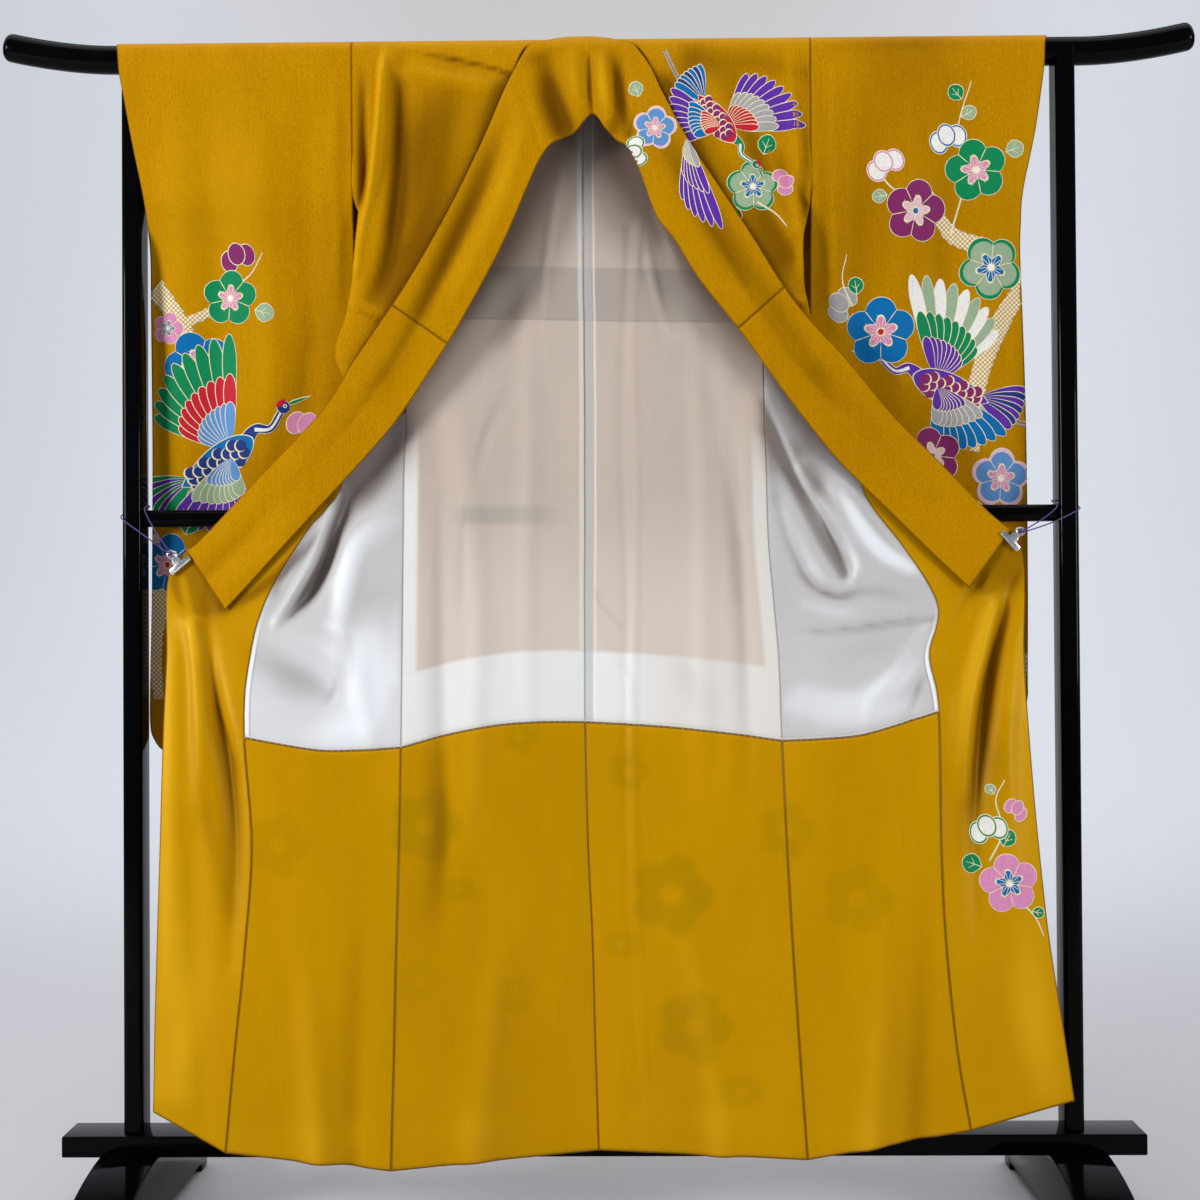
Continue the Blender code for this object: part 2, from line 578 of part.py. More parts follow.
def sleeve_row(side, edge, outs, z, belly, lap=0):
    inner = SLEEVE_SEAM[side] + lap
    marks = []
    for share in (0, 1 / 3, 2 / 3, 1):
        x = inner + (edge - inner) * share
        out = outs[0] + (outs[1] - outs[0]) * share + belly * math.sin(math.pi * share)
        marks.append((x, out, z))
    return marks


def make_sleeve(side):
    """One cloth folded over the bar, its layers meeting at the outer edge and bottom."""
    bottom = SLEEVE_BOTTOM[side]
    outward = -1 if side == "left" else 1
    meet = WALL + SEAM_GAP
    layers = {}
    for layer, sign in (("front", 1), ("back", -1)):
        rows = []
        last = SLEEVE_ROWS[side][-1]
        for height in (0.0, 0.010, 0.028, 0.050):
            drop = SLEEVE_ROUNDING - height
            inset = SLEEVE_ROUNDING - math.sqrt(max(SLEEVE_ROUNDING**2 - drop**2, 0))
            share = height / SLEEVE_ROUNDING
            seam_out = last["front"][0] - (0 if layer == "front" else meet)
            outs = (
                seam_out + (last[layer][0] - seam_out) * share,
                last[layer][1],
            )
            edge = last["edge"] - outward * inset
            rows.append(sleeve_row(side, edge, outs, bottom + height, 0))
        for k, row in enumerate(reversed(SLEEVE_ROWS[side])):
            belly = SLEEVE_BELLY * sign * min(1, 0.3 + k / 4)
            lap = sleeve_lap(side, row["z"]) if layer == "back" else 0
            rows.append(sleeve_row(side, row["edge"], row[layer], row["z"], belly, lap))
        layers[layer] = rows
    for stage, edge in zip(OVER_BAR, SLEEVE_TOP_EDGE[side]):
        for layer, sign in (("front", 1), ("back", -1)):
            if stage["angle"] == 0 and layer == "back":
                continue
            inner = SLEEVE_SEAM[side]
            xs = [inner + (edge - inner) * share / 3 for share in range(4)]
            layers[layer].append(
                [over_bar_point(x, sign * stage["angle"], DRAPE_OVER_BAR) for x in xs]
            )
    rows = world(layers["front"] + layers["back"][::-1])
    grid = np.array([through(row, SLEEVE_PLACES) for row in rows])
    top = (len(grid) - 1) // 2
    rise = places_between(0, top - 5, 1) + places_between(top - 5, top, 0.5)
    grid = through(grid, rise + [top] + [2 * top - place for place in reversed(rise)])
    normals = sheet_normals(grid, side)
    upright_normals(normals[:, 0])
    grid = drawn_in(grid, first_column=SEAM_GAP / 2)
    wall(f"sleeve_{side}", grid, normals, -WALL / 2, WALL / 2, "gold_crepe")


# Stand

def rounded_section(width, depth, rounding, cuts=3):
    """Corners of a rounded rectangle, in order round it."""
    points = []
    for k, (sx, sy) in enumerate(((1, 1), (-1, 1), (-1, -1), (1, -1))):
        for i in range(cuts + 1):
            turn = math.radians(90 * (k + i / cuts))
            points.append((
                sx * (width / 2 - rounding) + rounding * math.cos(turn),
                sy * (depth / 2 - rounding) + rounding * math.sin(turn),
            ))
    return points


def prism(name, outline, place, length, finish):
    """An outline carried straight from z = 0 to length, each point put in place."""
    count = len(outline)
    points = [place(u, v, 0) for u, v in outline] + [place(u, v, length) for u, v in outline]
    faces = [tuple(range(count))[::-1], tuple(range(count, 2 * count))]
    faces += [(i, (i + 1) % count, count + (i + 1) % count, count + i) for i in range(count)]
    return add_mesh(name, points, faces, finish)


def swept_round(name, axis, radius, sides, finish):
    """A round bar along an axis, its section carried along without twist."""
    axis = np.asarray(axis, dtype=float)
    ways = unit(np.gradient(axis, axis=0))
    across = unit(np.cross(ways[0], (0, 1, 0.1)))
    points, faces = [], []
    for centre, way in zip(axis, ways):
        across = unit(across - way * np.dot(across, way))
        over = np.cross(way, across)
        for i in range(sides):
            turn = 2 * math.pi * i / sides
            points.append(centre + radius * (math.cos(turn) * across + math.sin(turn) * over))
    rings = len(axis)
    faces.append(tuple(range(sides)))
    faces.append(tuple(range((rings - 1) * sides, rings * sides))[::-1])
    for r in range(rings - 1):
        for i in range(sides):
            j = (i + 1) % sides
            faces.append((r * sides + i, r * sides + j, (r + 1) * sides + j, (r + 1) * sides + i))
    return add_mesh(name, points, faces, finish)


def combine(body, other, operation="DIFFERENCE"):
    other.hide_render = True
    change = body.modifiers.new(operation.title(), "BOOLEAN")
    change.operation = operation
    change.solver = "EXACT"
    change.object = other


def make_stand():
    places = [-BAR_REACH, -0.82, -0.78, -0.74, -BAR_STRAIGHT, -0.35, 0]
    places += [-x for x in places[-2::-1]]
    axis = []
    for x in places:
        beyond = max(abs(x) - BAR_STRAIGHT, 0) / (BAR_REACH - BAR_STRAIGHT)
        axis.append((x, 0, BAR_HEIGHT + BAR_RISE * beyond**1.8))
    swept_round("bar", axis, BAR_RADIUS, 24, "lacquer")
    inner = POST_PLACE - POST_WIDTH / 2 - SEAM_GAP
    swept_round("rail", [(-inner, 0, RAIL_HEIGHT), (inner, 0, RAIL_HEIGHT)], RAIL_RADIUS, 24,
                "lacquer")
    beam = rounded_section(BEAM_DEPTH, BEAM_THICKNESS, 0.0025)
    middle = BEAM_TOP - BEAM_THICKNESS / 2
    prism("beam", beam, lambda u, v, w: (w - BEAM_REACH, u, v + middle), 2 * BEAM_REACH,
          "lacquer")
    for side, sign in (("left", -1), ("right", 1)):
        make_post(side, sign * POST_PLACE)
        make_foot(side, sign * POST_PLACE)


def make_post(side, x):
    low = BEAM_TOP + SEAM_GAP
    length = BAR_HEIGHT + CHEEK_RISE - low
    outline = rounded_section(POST_WIDTH, POST_DEPTH, POST_ROUNDING)
    post = prism(f"post_{side}", outline, lambda u, v, w: (x + u, v, low + w), length,
                 "lacquer")
    saddle = swept_round(
        f"saddle_{side}", [(x - 0.05, 0, BAR_HEIGHT), (x + 0.05, 0, BAR_HEIGHT)],
        BAR_RADIUS + SEAM_GAP, 24, "lacquer",
    )
    combine(post, saddle)


def make_foot(side, x):
    """An arched runner with a pad under each end and a notch for the beam."""
    notch = BEAM_DEPTH / 2 + SEAM_GAP
    floor = BEAM_TOP - BEAM_THICKNESS - SEAM_GAP
    top = []
    for y in (FOOT_REACH, 0.236, 0.228, 0.212, 0.190, 0.155, 0.115, 0.075, notch):
        arch = math.sqrt(1 - (y / (FOOT_REACH + 0.004)) ** 2)
        top.append((y, FOOT_TIP + (FOOT_CROWN - FOOT_TIP) * arch))
    outline = [(FOOT_REACH, 0.0)] + top + [(notch, floor)]
    outline += [(-y, z) for y, z in reversed(outline)]
    relief = FOOT_REACH - PAD_LENGTH
    outline += [(-relief, 0.0), (-relief + 0.010, PAD_RELIEF), (relief - 0.010, PAD_RELIEF),
                (relief, 0.0)]
    foot = prism(f"foot_{side}", outline, lambda u, v, w: (x - FOOT_WIDTH / 2 + w, u, v),
                 FOOT_WIDTH, "lacquer")
    return foot


# Clips and ties

def clip_frame(side):
    clip = CLIPS[side]
    tilt = math.radians(clip["tilt"])
    jaw = np.array([math.cos(tilt), 0, math.sin(tilt)])
    away = np.array([-math.sin(tilt), 0, math.cos(tilt)])
    origin = np.array([clip["jaws"][0], -clip["out"], clip["jaws"][1]])
    return origin, jaw, away, np.array([0, -1, 0])


def make_clip(side):
    """Two jaw plates with eyelets, joined by a spine over the cloth's edge."""
    origin, jaw, away, out = clip_frame(side)
    outline = [(-JAW_LENGTH / 2, -JAW_DEPTH / 2), (JAW_LENGTH / 2, -JAW_DEPTH / 2),
               (JAW_LENGTH / 2, JAW_DEPTH / 2), (SPINE_WIDTH / 2, JAW_DEPTH / 2)]
    for i in range(9):
        turn = math.radians(-30 + 30 * i)
        outline.append((EYELET_RADIUS * math.cos(turn),
                        EYELET_REACH + EYELET_RADIUS * math.sin(turn)))
    outline += [(-SPINE_WIDTH / 2, JAW_DEPTH / 2), (-JAW_LENGTH / 2, JAW_DEPTH / 2)]

    def placed(lift):
        return lambda u, v, w: origin + jaw * u + away * v + out * (lift + w)

    front = prism(f"clip_{side}", outline, placed(FRONT_JAW_LIFT - JAW_WALL / 2), JAW_WALL,
                  "clip_metal")
    back = prism(f"clip_{side}_back", outline, placed(BACK_JAW_LIFT - JAW_WALL / 2), JAW_WALL,
                 "clip_metal")
    web = [(-SPINE_WIDTH / 2 + 0.0008, SPINE_REACH), (SPINE_WIDTH / 2 - 0.0008, SPINE_REACH),
           (SPINE_WIDTH / 2 - 0.0008, SPINE_REACH + 0.0025),
           (-SPINE_WIDTH / 2 + 0.0008, SPINE_REACH + 0.0025)]
    spine = prism(f"clip_{side}_spine", web, placed(BACK_JAW_LIFT),
                  FRONT_JAW_LIFT - BACK_JAW_LIFT, "clip_metal")
    middle = origin + away * EYELET_REACH
    hole = swept_round(f"clip_{side}_hole", [middle + out * 0.02, middle - out * 0.02],
                       EYELET_HOLE, 12, "clip_metal")
    combine(front, back, "UNION")
    combine(front, spine, "UNION")
    combine(front, hole)


def make_tie(side):
    """A thin cord tied round the post, its ends in one knot on the eyelet."""
    origin, _, away, out = clip_frame(side)
    route = world(TIES[side])
    axis = through(route, [*places_between(0, len(route) - 1, 0.5), len(route) - 1])
    tie = swept_round(f"tie_{side}", axis, TIE_RADIUS, 8, "tie_cord")
    mesh = bpy.data.meshes.new(f"knot_{side}")
    knot = bmesh.new()
    bmesh.ops.create_icosphere(knot, subdivisions=2, radius=KNOT_RADIUS)
    shift = origin + away * EYELET_REACH + out * (FRONT_JAW_LIFT + KNOT_SEAT)
    for vertex in knot.verts:
        vertex.co = vertex.co + type(vertex.co)(shift)
    knot.to_mesh(mesh)
    knot.free()
    ball = bpy.data.objects.new(f"knot_{side}", mesh)
    bpy.context.scene.collection.objects.link(ball)
    combine(tie, ball, "UNION")


def make_all():
    clear_scene()
    make_stand()
    make_body()
    make_collar()
    for side in ("left", "right"):
        make_sleeve(side)
        make_clip(side)
        make_tie(side)


make_all()
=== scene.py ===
import math
import random

import bmesh
import bpy
import numpy as np
from mathutils import Matrix, Vector
from mathutils.bvhtree import BVHTree
from mathutils.geometry import delaunay_2d_cdt

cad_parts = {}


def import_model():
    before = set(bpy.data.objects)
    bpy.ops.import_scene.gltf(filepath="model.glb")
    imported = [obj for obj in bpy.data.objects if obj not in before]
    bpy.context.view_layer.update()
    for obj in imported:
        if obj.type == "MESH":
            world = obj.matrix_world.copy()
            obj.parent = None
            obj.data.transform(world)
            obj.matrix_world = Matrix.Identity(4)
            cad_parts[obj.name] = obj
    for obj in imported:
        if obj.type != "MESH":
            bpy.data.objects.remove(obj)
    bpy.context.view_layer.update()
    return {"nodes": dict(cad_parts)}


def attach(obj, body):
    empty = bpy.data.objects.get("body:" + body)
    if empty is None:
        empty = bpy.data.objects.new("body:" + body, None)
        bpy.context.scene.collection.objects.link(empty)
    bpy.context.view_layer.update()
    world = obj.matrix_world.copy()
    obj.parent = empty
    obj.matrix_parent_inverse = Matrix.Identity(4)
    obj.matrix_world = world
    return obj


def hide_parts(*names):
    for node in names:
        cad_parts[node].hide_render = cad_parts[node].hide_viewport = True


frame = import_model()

sides = ("left", "right")
pieces = {}

# Metres, Z up, the viewer at -Y. The tables of the garment give x, out (towards the viewer), z.


def fromSrgb(red, green, blue):
    return tuple(
        (c / 12.92 if c <= 0.04045 else ((c + 0.055) / 1.055) ** 2.4)
        for c in (red / 255, green / 255, blue / 255)
    ) + (1.0,)


def unit(vectors):
    return vectors / np.maximum(np.linalg.norm(vectors, axis=-1, keepdims=True), 1e-12)


def smoothStep(value, low, high):
    share = np.clip((np.asarray(value, float) - low) / (high - low), 0, 1)
    return share * share * (3 - 2 * share)


def world(rows):
    table = np.array(rows, dtype=float)
    return np.stack([table[..., 0], -table[..., 1], table[..., 2]], axis=-1)


def through(points, places):
    points = np.asarray(points, dtype=float)      # smooth curve through the points
    places = np.asarray(places, dtype=float)
    padded = np.concatenate([2 * points[:1] - points[1:2], points, 2 * points[-1:] - points[-2:-1]])
    step = np.clip(places.astype(int), 0, len(points) - 2)
    t = (places - step).reshape(-1, *[1] * (points.ndim - 1))
    a, b, c, d = (padded[step + k] for k in range(4))
    return b + 0.5 * t * (c - a + t * (2 * a - 5 * b + 4 * c - d + t * (3 * (b - c) + d - a)))


def denseRows(control, spacing):
    control = np.asarray(control, dtype=float)    # row places about one spacing apart
    places = []
    for k in range(len(control) - 1):
        apart = np.linalg.norm(control[k + 1] - control[k], axis=-1).mean()
        count = max(2, math.ceil(apart / spacing))
        places += [k + i / count for i in range(count)]
    return np.array(places + [len(control) - 1.0])


def linkPiece(name, mesh):
    piece = bpy.data.objects.new(name, mesh)
    bpy.context.scene.collection.objects.link(piece)
    return piece


def smoothFaces(mesh):
    mesh.polygons.foreach_set("use_smooth", [True] * len(mesh.polygons))


def faceOutwards(mesh):
    work = bmesh.new()
    work.from_mesh(mesh)
    bmesh.ops.recalc_face_normals(work, faces=work.faces)
    if work.calc_volume(signed=True) < 0:
        bmesh.ops.reverse_faces(work, faces=work.faces)
    work.to_mesh(mesh)
    work.free()


def layUv(mesh, name, values):
    # A UV layer from one pair of values for each point, counted again from the first when they run out.
    corner = np.zeros(len(mesh.loops), dtype=np.int32)
    mesh.loops.foreach_get("vertex_index", corner)
    mesh.uv_layers.new(name=name).data.foreach_set("uv", values[corner % len(values)].ravel())


# Camera and studio

camera = {
    "place": (0.0274, -2.4011, 0.8519),
    "yaw": 0.6457, "pitch": 0.6728, "roll": -0.3368,
    "lens": 50.4, "sensor": 36.0,
}


def makeCamera():
    yaw, pitch, roll = (math.radians(camera[k]) for k in ("yaw", "pitch", "roll"))
    ahead = Vector((-math.sin(yaw) * math.cos(pitch), math.cos(yaw) * math.cos(pitch), math.sin(pitch)))
    right = Vector((math.cos(yaw), math.sin(yaw), 0))
    up = right.cross(ahead)
    across = right * math.cos(roll) + up * math.sin(roll)
    upright = up * math.cos(roll) - right * math.sin(roll)
    turn = Matrix((across, upright, -ahead)).transposed().to_4x4()
    data = bpy.data.cameras.new("camera")
    data.lens = camera["lens"]
    data.sensor_width = camera["sensor"]
    made = bpy.data.objects.new("camera", data)
    made.matrix_world = Matrix.Translation(camera["place"]) @ turn
    bpy.context.scene.collection.objects.link(made)
    bpy.context.scene.camera = made


studio = {
    "floorFront": -6.5, "wallPlace": 5.6, "curve": 3.6, "wallTop": 8.5, "reach": 9.0,
    # Floor and top are darker copies of the wall's colour: painted shade.
    "floor": (203, 203, 208), "wall": (226, 230, 236), "top": (196, 194, 193),
    "worldColour": (232, 238, 250), "worldStrength": 0.20,
    # Painted shade on the backdrop: where the greyer floor gives way to the wall, and the wall to the
    # darker upper middle.
    "wallTint": (1.0, 3.6), "topTint": (2.0, 4.0), "topReach": (0.4, 3.0), "curveCuts": 24,
}
lights = {
    "left box": {"place": (-2.9, -2.0, 1.5), "aim": (-0.1, 0, 0.75), "size": 0.9, "power": 82},
    "right box": {"place": (2.9, -2.0, 1.1), "aim": (0.1, 0, 0.60), "size": 0.9, "power": 45},
    "top box": {"place": (0.0, -1.3, 3.4), "aim": (0, 0.1, 0.8), "size": 1.6, "power": 17},
    "wall light": {"place": (0.2, 1.4, 5.0), "aim": (0.2, 5.4, 2.6), "size": 6.5, "power": 232},
}


def makeStudio():
    outline = [(studio["floorFront"], 0.0)]
    for i in range(studio["curveCuts"] + 1):
        turn = math.radians(90 * i / studio["curveCuts"])
        outline.append((
            studio["wallPlace"] - studio["curve"] * (1 - math.sin(turn)),
            studio["curve"] * (1 - math.cos(turn)),
        ))
    outline.append((studio["wallPlace"], studio["wallTop"]))
    points = [(sign * studio["reach"], y, z) for y, z in outline for sign in (-1, 1)]
    faces = [(2 * i, 2 * i + 1, 2 * i + 3, 2 * i + 2) for i in range(len(outline) - 1)]
    mesh = bpy.data.meshes.new("backdrop")
    mesh.from_pydata(points, [], faces)
    smoothFaces(mesh)
    piece = linkPiece("backdrop", mesh)
    tree, surface = newMaterial("backdrop paper", 0.9, specular=0.2)
    # Painted shade on the paper: greyer underfoot and in the upper middle.
    x, y, z = tree.place().parts()
    colour = tree.mix(y.ramp(*studio["wallTint"]), studio["floor"], studio["wall"])
    paintedTopShade = z.ramp(*studio["topTint"]) * x.size().fall(*studio["topReach"])
    tree.put(surface.inputs["Base Color"], tree.mix(paintedTopShade, colour, studio["top"]))
    mesh.materials.append(materials["backdrop paper"])
    sky = bpy.data.worlds.new("studio")
    sky.use_nodes = True
    background = sky.node_tree.nodes["Background"]
    background.inputs["Color"].default_value = fromSrgb(*studio["worldColour"])
    background.inputs["Strength"].default_value = studio["worldStrength"]
    bpy.context.scene.world = sky
    for name, light in lights.items():
        data = bpy.data.lights.new(name, "AREA")
        data.energy = light["power"]
        data.size = light["size"]
        made = bpy.data.objects.new(name, data)
        made.location = light["place"]
        way = Vector(light["aim"]) - Vector(light["place"])
        made.rotation_euler = way.to_track_quat("-Z", "Y").to_euler()
        bpy.context.scene.collection.objects.link(made)
    bpy.context.scene.view_settings.view_transform = "Standard"


# Materials


class Field:
    # A value in a node tree; arithmetic on it adds math nodes.
    def __init__(self, tree, socket):
        self.tree, self.socket = tree, socket

    def __add__(self, other):
        return self.tree.math("ADD", self, other)

    def __sub__(self, other):
        return self.tree.math("SUBTRACT", self, other)

    def __mul__(self, other):
        return self.tree.math("MULTIPLY", self, other)

    def least(self, other):
        return self.tree.math("MINIMUM", self, other)

    def most(self, other):
        return self.tree.math("MAXIMUM", self, other)

    def sine(self):
        return self.tree.math("SINE", self)

    def size(self):
        return self.tree.math("ABSOLUTE", self)

    def ramp(self, low, high, start=0.0, end=1.0):
        made = self.tree.add("ShaderNodeMapRange", interpolation_type="SMOOTHSTEP")
        return self.tree.fill(made, Value=self, From_Min=low, From_Max=high, To_Min=start, To_Max=end)

    def fall(self, low, high):
        return self.ramp(low, high, 1.0, 0.0)

    def band(self, low, high, soft):
        return self.ramp(low - soft, low + soft) * self.fall(high - soft, high + soft)

    def parts(self):
        made = self.tree.add("ShaderNodeSeparateXYZ")
        self.tree.put(made.inputs[0], self)
        return [Field(self.tree, socket) for socket in made.outputs]

    def noise(self, stretch, scale=1.0, detail=3.0, roughness=0.5):
        stretched = self.tree.add("ShaderNodeVectorMath", operation="MULTIPLY")
        self.tree.put(stretched.inputs[0], self)
        self.tree.put(stretched.inputs[1], stretch)
        made = self.tree.add("ShaderNodeTexNoise")
        return self.tree.fill(made, Vector=Field(self.tree, stretched.outputs[0]), Scale=scale,
                              Detail=detail, Roughness=roughness)


class Tree:
    def __init__(self, tree):
        self.tree = tree

    def add(self, kind, **settings):
        made = self.tree.nodes.new(kind)
        for key, value in settings.items():
            setattr(made, key, value)
        return made

    def put(self, socket, value):
        if isinstance(value, Field):
            self.tree.links.new(value.socket, socket)
        else:
            socket.default_value = fromSrgb(*value) if socket.type == "RGBA" else value

    def fill(self, made, **inputs):
        for key, value in inputs.items():
            self.put(made.inputs[key.replace("_", " ")], value)
        return Field(self, made.outputs[0]) if made.outputs else None

    def math(self, operation, *values):
        made = self.add("ShaderNodeMath", operation=operation)
        for socket, value in zip(made.inputs, values):
            self.put(socket, value)
        return Field(self, made.outputs[0])

    def mix(self, share, first, second):
        made = self.add("ShaderNodeMix", data_type="RGBA")
        for index, value in ((0, share), (6, first), (7, second)):
            self.put(made.inputs[index], value)
        return Field(self, made.outputs[2])

    def place(self):
        return Field(self, self.add("ShaderNodeTexCoord").outputs["Object"])

    def layer(self, name):
        return Field(self, self.add("ShaderNodeUVMap", uv_map=name).outputs[0])

    def mark(self, name):
        return Field(self, self.add("ShaderNodeAttribute", attribute_name=name).outputs["Fac"])

    def group(self, name, **values):
        made = self.add("ShaderNodeGroup", node_tree=groups[name])
        self.fill(made, **values)
        return [Field(self, socket) for socket in made.outputs]


groups = {}
materials = {}


def newGroup(name, inputs):
    # A group that gives a height and a tone.
    group = groups[name] = bpy.data.node_groups.new(name, "ShaderNodeTree")
    for label, value in inputs.items():
        socket = group.interface.new_socket(name=label, in_out="INPUT", socket_type="NodeSocketFloat")
        socket.default_value = value
    for label in ("height", "tone"):
        group.interface.new_socket(name=label, in_out="OUTPUT", socket_type="NodeSocketFloat")
    tree = Tree(group)
    start = [Field(tree, socket) for socket in tree.add("NodeGroupInput").outputs]
    return tree, start, tree.add("NodeGroupOutput")


def makeCrepeGroup():
    # Pebbled crepe: twisted wefts give fine grains in ragged upright rows.
    inputs = {"grain size": 0.0016, "grain depth": 1.0, "streak depth": 1.0}
    tree, start, end = newGroup("crepe grain", inputs)
    size, grainDepth, streakDepth = start[:3]
    grain = tree.place().noise((1.0, 1.0, 0.55), tree.math("DIVIDE", 1.0, size), 2.0, 0.6) * grainDepth
    streak = tree.place().noise((420.0, 90.0, 26.0), roughness=0.65) * streakDepth
    cloud = tree.place().noise((9.0, 9.0, 4.0))
    tree.fill(end, height=grain + streak * 0.45, tone=grain * 0.58 + streak * 0.20 + cloud * 0.22)


def makeWeaveGroup():
    # Plain and satin silk: fine threads both ways, with slubs along the weft.
    tree, start, end = newGroup("silk weave", {"thread": 0.0007, "slub": 1.0})
    thread, depth = start[:2]
    flat = tree.layer("cloth")
    across, along = flat.parts()[:2]
    turn = tree.math("DIVIDE", 2 * math.pi, thread)
    threads = (across * turn).sine().size() + (along * turn).sine().size()
    slub = flat.noise((300.0, 16.0, 1.0), roughness=0.6) * depth
    cloud = flat.noise((9.0, 3.0, 1.0), detail=4.0, roughness=0.55)
    tree.fill(end, height=threads * 0.2 + slub, tone=slub * 0.40 + cloud * 0.60)


def newMaterial(name, roughness, metallic=0.0, sheen=0.0, coat=0.0, specular=0.5):
    made = materials[name] = bpy.data.materials.new(name)
    made.use_nodes = True
    tree = Tree(made.node_tree)
    surface = made.node_tree.nodes["Principled BSDF"]
    tree.fill(surface, Roughness=roughness, Metallic=metallic, Sheen_Weight=sheen, Sheen_Roughness=0.45,
              Coat_Weight=coat, Coat_Roughness=0.05, Specular_IOR_Level=specular)
    return tree, surface


def finish(tree, surface, colour, height, strength, distance):
    tree.put(surface.inputs["Base Color"], colour)
    bump = tree.add("ShaderNodeBump")
    tree.put(surface.inputs["Normal"], tree.fill(bump, Strength=strength, Distance=distance, Height=height))


goldCrepe = {
    # hollow is the painted shade colour, also used for the seams' dark grooves; ridge is the painted
    # highlight colour.
    "dark": (172, 117, 0), "light": (194, 139, 0), "hollow": (92, 54, 0), "ridge": (222, 166, 14),
    "roughness": 0.62, "grain": 0.0015, "bump": 0.0006, "seamWidth": 0.0022,
}
goldSatin = {
    # hollow is the painted shade colour, also used for the seams' dark grooves; ridge is the painted
    # highlight colour.
    "dark": (186, 134, 0), "light": (199, 145, 0), "hollow": (112, 70, 0), "ridge": (230, 176, 26),
    "roughness": 0.40, "bump": 0.00008, "seamWidth": 0.0026, "ghost": (128, 112, 0),
}
blushLining = {
    # hollow is the painted shade colour; ridge is the painted highlight colour, also laid on the lower
    # lining as painted light.
    "dark": (192, 176, 163), "light": (202, 185, 171), "band": (235, 236, 233),
    "tuck": (158, 151, 143), "hollow": (84, 62, 46), "ridge": (218, 205, 193), "roughness": 0.45,
    "bandWidth": 0.100, "tuckFrom": 1.281, "tuckTo": 1.358, "tuckLine": (150, 140, 130),
    # The side strip and the centre pleat: colours and reach from their seams.
    "seam": (92, 80, 70), "stripReach": (0.016, 0.024), "pleat": (182, 186, 188), "pleatReach": 0.010,
    "pleatEdge": (246, 244, 240), "pleatEdgeFrom": 0.0135, "pleatEdgeTo": 0.0165,
    # Painted shadow of the stand's rail, as it shows through the lining.
    "rail": (122, 138, 134), "railFrom": 0.988, "railTo": 1.014,
}
whiteLining = {
    # hollow is the painted shade colour; ridge is the painted highlight colour, also laid on the lower
    # lining as painted light.
    "dark": (195, 193, 192), "light": (204, 202, 201), "piping": (244, 244, 243),
    "hollow": (108, 95, 87), "ridge": (242, 246, 250), "line": (120, 112, 106), "roughness": 0.40,
    "pipingWidth": 0.0062, "pipingTop": 0.880,
}
boundaryEdge = {"cream": (246, 242, 230), "line": (88, 60, 20)}
goldTint = (1.0, 0.66, 0.12, 1.0)


def silkGround(tree, look, thread):
    height, tone = tree.group("silk weave", thread=thread, slub=0.5)
    return height, tree.mix(tone.ramp(0.20, 0.55), look["dark"], look["light"])


def paintShadeAndHighlight(tree, colour, look, depth=0.85, glow=0.55):
    # Painted shade: hollows and the cloth beside the collar, where its shadow falls, take the deep colour;
    # painted highlight: ridges take the pale one.
    relief = tree.mark("relief")
    colour = tree.mix(relief.fall(-1.0, 0.0) * depth, colour, look["hollow"])
    return tree.mix(relief.ramp(0.0, 1.0) * glow, colour, look["ridge"])


def seamShade(tree, colour, look, strength):
    # A narrow dark groove where a panel meets its neighbour.
    left, right = tree.layer("edges").parts()[:2]
    low, high = tree.layer("rows").parts()[:2]
    nearest = left.least(right).least(low.least(high))
    groove = nearest.fall(look["seamWidth"] * 0.4, look["seamWidth"])
    return tree.mix(groove * strength, colour, look["hollow"]), groove


def makeGoldCrepe():
    look = goldCrepe
    tree, surface = newMaterial("gold crepe", look["roughness"], specular=0.10)
    height, tone = tree.group("crepe grain", grain_size=look["grain"])
    colour = tree.mix(tone.ramp(0.36, 0.64), look["dark"], look["light"])
    colour, groove = seamShade(tree, paintShadeAndHighlight(tree, colour, look), look, 0.55)
    finish(tree, surface, colour, height - groove * 0.6, 0.75, look["bump"])
    surface.inputs["Specular Tint"].default_value = goldTint


def makeGoldSatin():
    look = goldSatin
    tree, surface = newMaterial("gold satin", look["roughness"], specular=0.28)
    height, colour = silkGround(tree, look, 0.0007)
    colour = tree.mix(tree.mark("ghost") * 0.34, colour, look["ghost"])
    colour, groove = seamShade(tree, paintShadeAndHighlight(tree, colour, look, 0.85, 0.65), look, 0.75)
    finish(tree, surface, colour, height - groove * 3.0, 0.45, look["bump"])
    surface.inputs["Specular Tint"].default_value = goldTint


